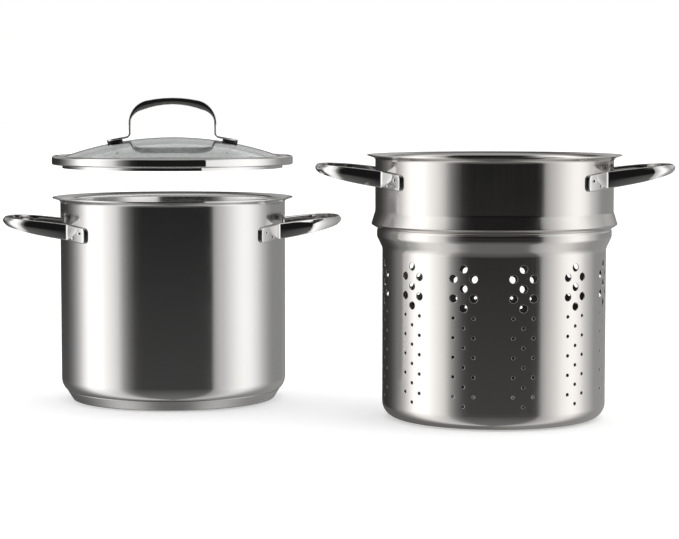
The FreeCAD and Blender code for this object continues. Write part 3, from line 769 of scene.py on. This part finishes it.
def true_wall(mesh):
    """Gives the flat of the punched wall its round normals, so that each hole's edge stays crisp."""
    low = STRAINER_CORNER + MM
    high = insert_high.z - STRAINER_DROP - MM
    normals = []
    for corner, auto in zip(mesh.loops, mesh.corner_normals):
        spot = mesh.vertices[corner.vertex_index].co
        out = Vector((spot.x - insert_middle.x, spot.y - insert_middle.y, 0))
        on_wall = low < spot.z < high and abs(out.length - strainer_radius) < ON_WALL_WITHIN
        normals.append(out.normalized() if on_wall else auto.vector.copy())
    mesh.normals_split_custom_set(normals)


def make_strainer(steel):
    """The turned base, shoulder and rim, sewn to the punched wall between them."""
    skin = bent_line(insert_skin())
    back = bent_line(insert_skin(MOUTH_LEAD), SHEET)
    lengths = [0.0]
    for one, two in zip(skin, skin[1:]):
        lengths.append(lengths[-1] + (two - one).length)

    def at_length(line, length):
        """The point of a line at a length along the skin."""
        number = max(k for k, value in enumerate(lengths[:-1]) if value <= length)
        share = (length - lengths[number]) / (lengths[number + 1] - lengths[number])
        return line[number].lerp(line[number + 1], share)

    top_level = insert_high.z - STRAINER_DROP - TOP_ROW_DROP
    wall_foot = max(k for k, point in enumerate(skin) if point.y < top_level)
    top_row = lengths[wall_foot] + top_level - skin[wall_foot].y
    high_cut = top_row + ROW_STEP
    low_cut = top_row - ROWS * ROW_STEP
    below = [k for k, value in enumerate(lengths) if value < low_cut]
    above = [k for k, value in enumerate(lengths) if value > high_cut]
    low_skin = [skin[k] for k in below] + [at_length(skin, low_cut)]
    low_back = [back[k] for k in below] + [at_length(back, low_cut)]
    high_skin = [at_length(skin, high_cut)] + [skin[k] for k in above]
    high_back = [at_length(back, high_cut)] + back[above[0]:]
    turns = []
    for group in range(HOLE_GROUPS):
        head = group * group_pitch - COLUMNS / 2 * COLUMN_GAP
        tail = head + COLUMNS * COLUMN_GAP
        turns += [head + COLUMN_GAP * step / TILE_ACROSS for step in range(COLUMNS * TILE_ACROSS)]
        turns += [tail + gap_width * step / GAP_ACROSS for step in range(GAP_ACROSS)]
    turns = [FIRST_GROUP + INSERT_TURN + across / strainer_radius for across in turns]

    low = turned_mesh("strainer", low_back[::-1] + low_skin, turns, insert_middle, closed=False)
    piece = new_piece("strainer", low)
    high = turned_mesh("upper_wall", high_skin + high_back[::-1], turns, insert_middle, closed=False)
    upper = new_piece("upper_wall", high)
    links = [(k, k + 1) for k in range(len(skin) - 1)]
    line = new_piece("skin_line", new_mesh("skin_line", [(x, 0, z) for x, z in skin], edges=links))
    tile_height = 2 * ROW_STEP
    helpers = {
        "Large Tile": sheet_tile("large_tile", COLUMN_GAP, tile_height, TILE_ACROSS, TILE_UP, LARGE_HOLE),
        "Small Tile": sheet_tile("small_tile", COLUMN_GAP, tile_height, TILE_ACROSS, TILE_UP, SMALL_HOLE),
        "Half Tile": sheet_tile("half_tile", COLUMN_GAP, ROW_STEP, TILE_ACROSS, TILE_UP // 2),
        "Gap Tile": sheet_tile("gap_tile", gap_width, tile_height, GAP_ACROSS, TILE_UP),
        "Skin Line": line,
    }
    with bpy.context.temp_override(active_object=piece, selected_editable_objects=[piece, upper]):
        bpy.ops.object.join()
    values = {
        "Steel": steel, "Groups": HOLE_GROUPS, "Middle": (insert_middle.x, insert_middle.y, 0),
        "Row Step": ROW_STEP, "Column Gap": COLUMN_GAP, "Group Pitch": group_pitch,
        "Wall Radius": strainer_radius, "Top Row": top_row, "First Group": FIRST_GROUP + INSERT_TURN,
        "Base Hole": BASE_HOLE, "Base Ring Step": BASE_RING_STEP, **helpers,
    }
    run_tree(piece, strainer_tree(), values)
    clear_away(*helpers.values())
    true_wall(piece.data)
    mark_inside(piece.data, insert_middle, STRAINER_CORNER, insert_high.z - MOUTH_DEPTH)
    return piece


# The same polish as the pot's, a little softer and warmer.
insert_steel = polished_steel(
    "polished stainless steel, insert", INSERT_STEEL,
    smooth=0.11, rough=0.18, streak_mm=1.1, haze_mm=60, depth_mm=0.002)
# Its dull inside is painted a darker grey as shade; it shows through the small holes, so they read as dark
# points.
dull_shaded_inside(insert_steel, INSERT_STEEL, INSERT_INSIDE_SHADE, rough=0.36)
strainer = make_strainer(insert_steel)
fit_piece(strainer, insert_steel, "insert", "drawn_steel", "insert_body")

# Lid glass: a shallow dome of 3.5 mm tempered soda-lime glass, clear, with a ground edge.
# It is drilled for the two studs of its bow handle; the edge sits inside the steel band.
GLASS_DOME_RADIUS = 315 * MM
GLASS_THICKNESS = 3.5 * MM
GLASS_EDGE_INSET = 3.2 * MM
GLASS_SEAT_CLEARANCE = 0.1 * MM
GLASS_EDGE_GRIND = 0.5 * MM
BAND_HEIGHT = 8.8 * MM
BAND_SHEET = 0.6 * MM
FIXING_AT = 56.5 * MM
STUD_HOLE = 5.2 * MM
DRILL_HALF = 8 * MM
DOME_STEPS = 44
GLASS_WAVE = 70 * MM
GLASS_WAVE_DEPTH = 0.004 * MM
lid_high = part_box("lid_rim")[1]
band_radius = lid_high.x
lid_seat = lid_high.z - BAND_HEIGHT
glass_edge = band_radius - GLASS_EDGE_INSET
inner_dome = GLASS_DOME_RADIUS - GLASS_THICKNESS
dome_centre = lid_seat + BAND_SHEET + GLASS_SEAT_CLEARANCE - math.sqrt(inner_dome**2 - glass_edge**2)
fixing_angle = math.asin(FIXING_AT / GLASS_DOME_RADIUS)


def dome_line(radius, reach):
    """Points of a dome's section from its axis out to a reach."""
    turn = math.asin(reach / radius)
    points = []
    for step in range(DOME_STEPS + 1):
        angle = turn * step / DOME_STEPS
        points.append((radius * math.sin(angle), dome_centre + radius * math.cos(angle)))
    return points


def on_feet(radius):
    """Places on a dome under the two feet of the bow, with the dome's axis there."""
    spots = []
    for side in (-1, 1):
        axis = Vector((side * math.sin(fixing_angle), 0, math.cos(fixing_angle)))
        spots.append((radius * axis + Vector((0, 0, dome_centre)), axis))
    return spots


def clear_glass():
    """Clear glass, slightly wavy from the tempering, so that what it mirrors is never quite straight."""
    material, tree, shader, place = new_material("tempered clear glass", {
        "Base Color": paint("D2D4D3"), "Roughness": 0.0, "Transmission Weight": 1.0, "IOR": 1.52})
    waves = add_node(tree, "ShaderNodeTexNoise", {0: place, "Scale": 1 / GLASS_WAVE, "Detail": 0.0})
    bump = add_node(tree, "ShaderNodeBump", {"Height": waves, "Distance": GLASS_WAVE_DEPTH})
    wire(tree, shader, {"Normal": bump})
    return material


glass_material = clear_glass()
under = dome_line(inner_dome, glass_edge - GLASS_EDGE_GRIND)
over = dome_line(GLASS_DOME_RADIUS, glass_edge - GLASS_EDGE_GRIND)
ground = [
    (glass_edge, under[-1][1] + GLASS_EDGE_GRIND),
    (glass_edge, over[-1][1] - GLASS_EDGE_GRIND),
]
lid_glass = new_piece("dome_glass", turned_mesh("dome_glass", under + ground + over[::-1], pot_turns))
drill_outline = [
    (0, -DRILL_HALF),
    (STUD_HOLE / 2, -DRILL_HALF),
    (STUD_HOLE / 2, DRILL_HALF),
    (0, DRILL_HALF),
]
drill = new_piece("drill", turned_mesh("drill", drill_outline, ball_turns))
drillings = places_object("drill_places", on_feet(GLASS_DOME_RADIUS))
run_tree(lid_glass, punch, {"Places": drillings, "Tool": drill, "Finish": glass_material})
fit_piece(lid_glass, glass_material, "lid", "clear_glass", "lid_glass")
clear_away(drill, drillings)

# Lid band: 0.6 mm stainless strip rolled round the glass edge, bright polished.
# Its lip lies on the glass, its foot rests on the rim, and its skirt drops inside the mouth.
BAND_TOP_WIDTH = 4.6 * MM
BAND_TOP_BEND = 2.6 * MM
BAND_FOOT_BEND = 1.4 * MM
SKIRT_CLEARANCE = 1.5 * MM
SKIRT_DEPTH = 3.4 * MM
SKIRT_BEND = 0.9 * MM
LIP_REACH = 4.2 * MM
LIP_BEND = 1.6 * MM
LIP_CLEARANCE = 0.15 * MM
skirt_radius = wall_radius - SHEET - SKIRT_CLEARANCE
lip_radius = glass_edge - LIP_REACH
glass_top = dome_centre + math.sqrt(GLASS_DOME_RADIUS**2 - lip_radius**2)
lip_slope = math.atan2(lid_high.z - glass_top, band_radius - BAND_TOP_WIDTH - lip_radius)
band_skin = [
    (skirt_radius, lid_seat - SKIRT_DEPTH, 0),
    (skirt_radius, lid_seat, SKIRT_BEND),
    (band_radius, lid_seat, BAND_FOOT_BEND),
    (band_radius, lid_high.z, BAND_TOP_BEND),
    (band_radius - BAND_TOP_WIDTH, lid_high.z, LIP_BEND),
    (lip_radius, glass_top + LIP_CLEARANCE + BAND_SHEET / math.cos(lip_slope), 0),
]
band_outline = bent_line(band_skin) + bent_line(band_skin, BAND_SHEET)[::-1]
lid_band = new_piece("lid_band", turned_mesh("lid_band", band_outline, pot_turns))
fit_piece(lid_band, bright_steel, "lid", "bright_steel", "lid_rim")

# Lid bow: a strip of 1.8 mm stainless bent to an arch with legs and feet.
# Its long edges are turned down along the arch, which makes it stiff and kind to the hand.
# The feet lie along the dome on rubber pads; it is polished like the side handles.
BOW_LEG = 43.15 * MM
BOW_TOP = 42 * MM
BOW_WIDTH = 20 * MM
BOW_THICKNESS = 1.8 * MM
BOW_ARCH = 120 * MM
BOW_CORNER = 22 * MM
BOW_FOOT_BEND = 4 * MM
BOW_FOOT_LENGTH = 19.4 * MM
BOW_FOOT_ROUND = 8 * MM
BOW_EDGE_ROUND = 0.6 * MM
BOW_LIP_SHEET = 1.6 * MM
BOW_LIP_DEPTH = 4.7 * MM
BOW_LIP_ARCH = 80 * MM
BOW_LIP_CORNER = 15 * MM
BOW_LIP_PARTS = 8
BOW_FOOT_SHARES = (0.2, 0.4, 0.6, 0.75, 0.87, 0.95, 0.985, 1.0)
BOW_EDGE_STEPS = 3
BOW_CHAMFER = 0.3
BOW_FACE_SHARES = (-0.25, 0.0, 0.25)
BOW_CREASE = math.radians(32)
PAD_THICKNESS = 2.2 * MM


def bow_rings():
    """Rings of the bow from one foot over the arch to the other, in the plane across each station."""
    leg = BOW_LEG - BOW_THICKNESS / 2
    half = BOW_THICKNESS / 2
    foot_radius = GLASS_DOME_RADIUS + PAD_THICKNESS + half
    foot_x = foot_radius * math.sin(fixing_angle)
    foot_z = dome_centre + foot_radius * math.cos(fixing_angle)
    bend_x = leg + BOW_FOOT_BEND
    bend_rise = BOW_FOOT_BEND - (bend_x - foot_x) * math.sin(fixing_angle)
    bend_z = foot_z + bend_rise / math.cos(fixing_angle)
    top = foot_z + BOW_TOP - BOW_THICKNESS
    arch, drop = arch_moves(leg, BOW_ARCH, BOW_CORNER, -1)
    straight = BOW_FOOT_LENGTH - BOW_FOOT_ROUND
    moves = arch + [(top - drop - bend_z, 0), (BOW_FOOT_BEND, math.pi / 2 - fixing_angle), (straight, 0)]
    stations = [(spot, way, 1.0) for spot, way in walked((0, top), 0, moves)]
    foot, way = stations[-1][:2]
    ahead = Vector((math.cos(way), math.sin(way)))
    for share in BOW_FOOT_SHARES:
        width = BOW_WIDTH / 2 - BOW_FOOT_ROUND * (1 - math.sqrt(1 - share**2))
        stations.append((foot + share * BOW_FOOT_ROUND * ahead, way, width / (BOW_WIDTH / 2)))
    lip_arch = arch_moves(leg, BOW_LIP_ARCH, BOW_LIP_CORNER, -1)[0]
    lip_turns = []
    for size, turn in lip_arch:
        lip_turns += [(size, turn / BOW_LIP_PARTS)] * BOW_LIP_PARTS
    lip_edge = [spot for spot, lip_way in walked((0, top - half - BOW_LIP_DEPTH), 0, lip_turns)]

    half_rings = []
    for spot, way, narrow in stations:
        deep = min((spot - lip).length for lip in lip_edge) if spot.x < leg + half else half
        deep = max(half, deep) if spot.y > lip_edge[-1].y else half
        corner = BOW_EDGE_ROUND
        chamfer = BOW_CHAMFER * corner
        edge = BOW_WIDTH / 2
        side = []
        for step in range(BOW_EDGE_STEPS + 1):
            turn = math.pi / 2 * step / BOW_EDGE_STEPS
            side.append((edge - corner * (1 - math.sin(turn)), half - corner * (1 - math.cos(turn))))
        side += [
            (edge, corner - deep),
            (edge - chamfer, chamfer - deep),
            (edge - corner, -deep),
            (edge - BOW_LIP_SHEET, min(-half, corner - deep)),
            (edge - BOW_LIP_SHEET, -half),
        ]
        tops = [(across * BOW_WIDTH, half) for across in BOW_FACE_SHARES]
        unders = [(across * BOW_WIDTH, -half) for across in BOW_FACE_SHARES[::-1]]
        other = [(-across, rise) for across, rise in side[::-1]]
        out = Vector((-math.sin(way), math.cos(way)))
        ring = []
        for across, rise in tops + side + unders + other:
            point = spot + rise * out
            ring.append((point.x, across * narrow, point.y))
        half_rings.append(ring)
    mirrored = [[(-x, y, z) for x, y, z in ring] for ring in half_rings]
    return mirrored[:0:-1] + half_rings


lid_bow = new_piece("lid_bow", swept_mesh("lid_bow", bow_rings()), BOW_CREASE)
fit_piece(lid_bow, bright_steel, "lid", "bright_steel", "lid_handle")

# Fixings: rubber pads under the feet and rubber gaskets under the glass, clamped by studs and cap nuts.
# The rubber is moulded and dull black; studs, washers and nuts are nickel-plated steel.
GASKET_THICKNESS = 1.2 * MM
WASHER_THICKNESS = 0.8 * MM
NUT_ACROSS_FLATS = 7 * MM
NUT_HEIGHT = 3.2 * MM
NUT_DOME = 6.6 * MM
NUT_DOME_STEPS = 24
NUT_DOME_RINGS = 14
RUBBER_GRAIN = 0.4 * MM
RUBBER_GRAIN_DEPTH = 0.02 * MM


def black_rubber():
    """Moulded black rubber: dull, with a fine grain that scatters its highlights."""
    material, tree, shader, place = new_material("moulded black rubber", {"Base Color": paint("161616")})
    grain = add_node(tree, "ShaderNodeTexNoise", {0: place, "Scale": 1 / RUBBER_GRAIN, "Detail": 3.0})
    bump = add_node(tree, "ShaderNodeBump", {"Height": grain, "Distance": RUBBER_GRAIN_DEPTH})
    smooth, rough = 0.42, 0.6
    rise = add_node(tree, "ShaderNodeMapRange", {0: grain, 3: smooth, 4: rough})
    wire(tree, shader, {"Roughness": rise, "Normal": bump})
    return material


def nut_tree():
    """Sets a hexagon nut with a domed cap on every place, cap downwards."""
    tree, start = new_tree("Cap nuts", [
        ("Places", "Object"), ("Plating", "Material"),
        ("Across Flats", "Float"), ("Height", "Float"), ("Dome", "Float")])
    corner = add_node(tree, "ShaderNodeMath", {
        0: start["Across Flats"], 1: 1 / math.sqrt(3)}, operation="MULTIPLY")
    hexagon = add_node(tree, "GeometryNodeMeshCylinder", {
        "Vertices": 6, "Radius": corner, "Depth": start["Height"]})
    radius = add_node(tree, "ShaderNodeMath", {0: start["Dome"], 1: 0.5}, operation="MULTIPLY")
    cap = add_node(tree, "GeometryNodeMeshUVSphere", {
        "Segments": NUT_DOME_STEPS, "Rings": NUT_DOME_RINGS, "Radius": radius})
    down = add_node(tree, "ShaderNodeMath", {0: start["Height"], 1: -0.5}, operation="MULTIPLY")
    foot = add_node(tree, "ShaderNodeCombineXYZ", {2: down})
    lowered = add_node(tree, "GeometryNodeTransform", {0: cap, "Translation": foot})
    nut = add_node(tree, "GeometryNodeMeshBoolean", {
        "Mesh 2": hexagon}, operation="UNION", solver="EXACT")
    wire(tree, nut, {"Mesh 2": lowered})
    end_tree(tree, set_on_places(tree, start["Places"], nut), start["Plating"])
    return tree


rubber = black_rubber()
# Nickel plating is bright and a little warmer than the steel of the bow.
plated_steel = polished_steel(
    "bright nickel-plated steel", "D6D3CB",
    smooth=0.08, rough=0.14, streak_mm=0.5, haze_mm=12, depth_mm=0.0005, run=1)
for side in ("left", "right"):
    paint_node(f"lid_handle_pad_{side}", rubber)
    paint_node(f"lid_gasket_{side}", rubber)
    paint_node(f"lid_washer_{side}", plated_steel)
    paint_node(f"lid_stud_{side}", plated_steel)
nut_middle = inner_dome - GASKET_THICKNESS - WASHER_THICKNESS - NUT_HEIGHT / 2
nut_places = places_object("nut_places", on_feet(nut_middle))
cap_nuts = new_piece("cap_nuts", new_mesh("cap_nuts", ()))
run_tree(cap_nuts, nut_tree(), {
    "Places": nut_places, "Plating": plated_steel,
    "Across Flats": NUT_ACROSS_FLATS, "Height": NUT_HEIGHT, "Dome": NUT_DOME})
fit_piece(cap_nuts, plated_steel, "lid", "plated_steel", "lid_cap_nut_left", "lid_cap_nut_right")
clear_away(nut_places)

# Studio: a white table and backdrop, a soft lamp above, and the panels that polished steel mirrors.
# A dark cloth hangs on the camera's side, with a tall white panel to its left and another to its right.
CAMERA_AT = (0.0, -2.2, 0.30)
CAMERA_PITCH = math.radians(4.5)
CAMERA_YAW = math.radians(-4.3)
CAMERA_LENS = 117.5
# Light levels round the room, by bearing in degrees: 0 is towards the camera and 90 to its right.
PANELS = (
    (-180, 0.03), (-154, 0.035), (-140, 0.05), (-135, 0.075), (-125, 0.20), (-116, 0.46), (-108, 0.87),
    (-103, 1.25), (-96, 1.62), (-80, 1.7), (-74, 1.43), (-66, 1.19), (-59, 0.93), (-52, 0.38), (-46, 0.16),
    (-39, 0.03), (-32, 0.012), (40, 0.012), (41, 0.45), (50, 0.73), (58, 0.97), (65, 1.24), (73, 1.42),
    (81, 1.46), (90, 1.25), (99, 0.81), (110, 0.51), (117, 0.35), (156, 0.31), (176, 0.04), (180, 0.03),
)
# Light levels by height, as the upward share of a direction: -1 is straight down and 1 straight up.
BACK_BOARD = ((-1.0, 0.0), (0.04, 0.0), (0.16, 0.42), (0.44, 0.42), (0.56, 0.0), (1.0, 0.0))
CEILING = 0.5
CEILING_FROM = 0.55
CEILING_FULL = 0.9
SHEEN = 0.07
SHEEN_FROM = -0.03
TABLE = 0.27
TABLE_SHARE = 0.66
TABLE_FROM = -0.15
TABLE_FULL = -0.95
LAMP_STRENGTH = 1.9
LAMP_SPREAD = math.radians(100)
LAMP_TILT = (math.radians(-20), math.radians(12), 0)
FLOOR_HALF = 20.0
FLOOR_LIFT = 0.35


def level_ramp(tree, value, levels, unit):
    """A light level along a value, from (position, level) pairs whose positions are in a unit."""
    first, last = levels[0][0], levels[-1][0]
    share = add_node(tree, "ShaderNodeMapRange", {0: value, 1: first * unit, 2: last * unit})
    ramp = add_node(tree, "ShaderNodeValToRGB", {0: share})
    stops = ramp.color_ramp.elements
    while len(stops) < len(levels):
        stops.new(0.5)
    peak = max(level for position, level in levels)
    for stop, (position, level) in zip(stops, levels):
        stop.position = (position - first) / (last - first)
        stop.color = (level / peak, level / peak, level / peak, 1)
    return add_node(tree, "ShaderNodeMath", {0: ramp, 1: peak}, operation="MULTIPLY")


world = bpy.data.worlds.new("studio")
bpy.context.scene.world = world
world.use_nodes = True
tree = world.node_tree
tree.nodes.clear()
way = add_node(tree, "ShaderNodeTexCoord").outputs["Generated"]
way_x, way_y, way_z = add_node(tree, "ShaderNodeSeparateXYZ", {0: way}).outputs
back_y = add_node(tree, "ShaderNodeMath", {0: way_y, 1: -1.0}, operation="MULTIPLY")
bearing = add_node(tree, "ShaderNodeMath", {0: way_x, 1: back_y}, operation="ARCTAN2")
panels = level_ramp(tree, bearing, PANELS, math.radians(1))
sheen = add_node(tree, "ShaderNodeMapRange", {0: way_z, 1: SHEEN_FROM, 2: TABLE_FROM, 4: SHEEN})
panels = add_node(tree, "ShaderNodeMath", {0: panels, 1: sheen}, operation="ADD")
behind = add_node(tree, "ShaderNodeMath", {0: way_y, 1: 0.0}, operation="MAXIMUM")
board = level_ramp(tree, way_z, BACK_BOARD, 1.0)
panels = add_node(tree, "ShaderNodeMath", {
    0: board, 1: behind, 2: panels}, operation="MULTIPLY_ADD")
height = add_node(tree, "ShaderNodeMapRange", {0: way_z, 1: CEILING_FROM, 2: CEILING_FULL})
above = add_node(tree, "ShaderNodeMix", {0: height, 2: panels, 3: CEILING})
depth = add_node(tree, "ShaderNodeMapRange", {0: way_z, 1: TABLE_FROM, 2: TABLE_FULL, 4: TABLE_SHARE})
below = add_node(tree, "ShaderNodeMix", {0: depth, 2: above, 3: TABLE})
ray = add_node(tree, "ShaderNodeLightPath").outputs
seen = add_node(tree, "ShaderNodeMath", {
    0: ray["Is Camera Ray"], 1: ray["Is Transmission Ray"]}, operation="MAXIMUM")
strength = add_node(tree, "ShaderNodeMix", {0: seen, 2: below, 3: 1.0})
light = add_node(tree, "ShaderNodeBackground", {"Color": (1, 1, 1, 1), "Strength": strength})
add_node(tree, "ShaderNodeOutputWorld", {0: light})

corners = [(-1, -1), (1, -1), (1, 1), (-1, 1)]
corners = [(x * FLOOR_HALF, y * FLOOR_HALF, 0) for x, y in corners]
floor = set_up("table_top", new_mesh("table_top", corners, [(0, 1, 2, 3)]))
# White laminate: matt, and lifted to white for the camera alone, so that the shadow stays.
floor_material, tree, shader = new_material("white laminate", {
    "Base Color": paint("EDEDED"), "Roughness": 0.7, "Specular IOR Level": 0.0,
    "Emission Color": (1, 1, 1, 1)})[:3]
glow = add_node(tree, "ShaderNodeLightPath").outputs["Is Camera Ray"]
lift = add_node(tree, "ShaderNodeMath", {0: glow, 1: FLOOR_LIFT}, operation="MULTIPLY")
wire(tree, shader, {"Emission Strength": lift})
floor.data.materials.append(floor_material)
floor.visible_glossy = False

lamp = bpy.data.lights.new("overhead", "SUN")
lamp.energy = LAMP_STRENGTH
lamp.angle = LAMP_SPREAD
overhead = set_up("overhead", lamp)
overhead.rotation_euler = LAMP_TILT
overhead.visible_glossy = False

lens = bpy.data.cameras.new("camera")
lens.lens = CAMERA_LENS
camera = set_up("camera", lens)
camera.location = CAMERA_AT
camera.rotation_euler = (math.pi / 2 - CAMERA_PITCH, 0, CAMERA_YAW)
bpy.context.scene.camera = camera
bpy.context.scene.view_settings.view_transform = "Standard"

# Card: sheets on edge between pot and insert, which only reflections show and which glow on one side each.
# Each vessel mirrors its own side of the card and not the other vessel, as if they stood far apart.
CARD_TO_POT = 171 * MM
CARD_TO_INSERT = 173 * MM
CARD_FRONT = -205 * MM
CARD_BACK = 85 * MM
CARD_STEP = 201 * MM
CARD_STRAP_STEP = 217 * MM
CARD_TOP = 270 * MM
CARD_POT_FADE = 1 * MM
CARD_INSERT_FADE = 35 * MM
CARD_ROUND = 168 * MM
CARD_ROUND_FROM = 20
CARD_ROUND_TO = 120
CARD_ROUND_STEP = 5
STRAP_ROOM = ((-180 * MM, -88 * MM), (-82 * MM, CARD_BACK))
# Light levels along the card's two sides, by place in mm from front to back.
POT_SIDE = (
    (-205, 0.73), (-183, 0.88), (-163, 1.05), (-133, 1.33), (-112, 1.44), (-91, 1.37), (-70, 1.08),
    (-49, 0.70), (-26, 0.43), (-9, 0.35), (85, 0.31),
)
INSERT_SIDE = (
    (-205, 1.05), (-190, 0.64), (-181, 0.39), (-167, 0.17), (-152, 0.075), (-134, 0.045), (85, 0.035),
)


def add_card(name, runs, levels, fade):
    """Sheets on edge along runs of points, that glow to the right of each run and fade out at the front."""
    verts = []
    faces = []
    for points, low, high in runs:
        for number, (x, y) in enumerate(points):
            if number:
                corner = len(verts)
                faces.append((corner - 2, corner, corner + 1, corner - 1))
            verts += [(x, y, low), (x, y, high)]
    mesh = new_mesh(name, verts, faces)
    material = bpy.data.materials.new(name)
    material.use_nodes = True
    tree = material.node_tree
    tree.nodes.clear()
    place = add_node(tree, "ShaderNodeTexCoord").outputs["Object"]
    along = add_node(tree, "ShaderNodeSeparateXYZ", {0: place}).outputs[1]
    glow = add_node(tree, "ShaderNodeEmission", {"Strength": level_ramp(tree, along, levels, MM)})
    behind = add_node(tree, "ShaderNodeNewGeometry").outputs["Backfacing"]
    ending = add_node(tree, "ShaderNodeMapRange", {0: along, 1: CARD_FRONT + fade, 2: CARD_FRONT})
    unseen = add_node(tree, "ShaderNodeMath", {0: behind, 1: ending}, operation="MAXIMUM")
    clear = add_node(tree, "ShaderNodeBsdfTransparent")
    sheet = add_node(tree, "ShaderNodeMixShader", {0: unseen, 1: glow, 2: clear})
    add_node(tree, "ShaderNodeOutputMaterial", {0: sheet})
    mesh.materials.append(material)
    card = set_up(name, mesh)
    for rays in ("camera", "diffuse", "transmission", "volume_scatter", "shadow"):
        setattr(card, f"visible_{rays}", False)


# Beside the lid, the pot's sheet swings round in front of the insert's strap.
# The insert's own sheet leaves room for that strap.
round_run = []
for degrees in range(CARD_ROUND_TO, CARD_ROUND_FROM - 1, -CARD_ROUND_STEP):
    turn = math.radians(degrees)
    round_run.append((CARD_ROUND * math.sin(turn), -CARD_ROUND * math.cos(turn)))
low_run = [(CARD_TO_POT, CARD_BACK), (CARD_TO_POT, CARD_FRONT)]
insert_runs = [([(CARD_TO_INSERT, CARD_FRONT), (CARD_TO_INSERT, CARD_BACK)], 0, CARD_STRAP_STEP)]
for front, back in STRAP_ROOM:
    insert_runs.append(([(CARD_TO_INSERT, front), (CARD_TO_INSERT, back)], CARD_STRAP_STEP, CARD_TOP))
pot_runs = [(low_run, 0, CARD_STEP), (round_run, CARD_STEP, CARD_TOP)]
add_card("card_to_pot", pot_runs, POT_SIDE, CARD_POT_FADE)
add_card("card_to_insert", insert_runs, INSERT_SIDE, CARD_INSERT_FADE)
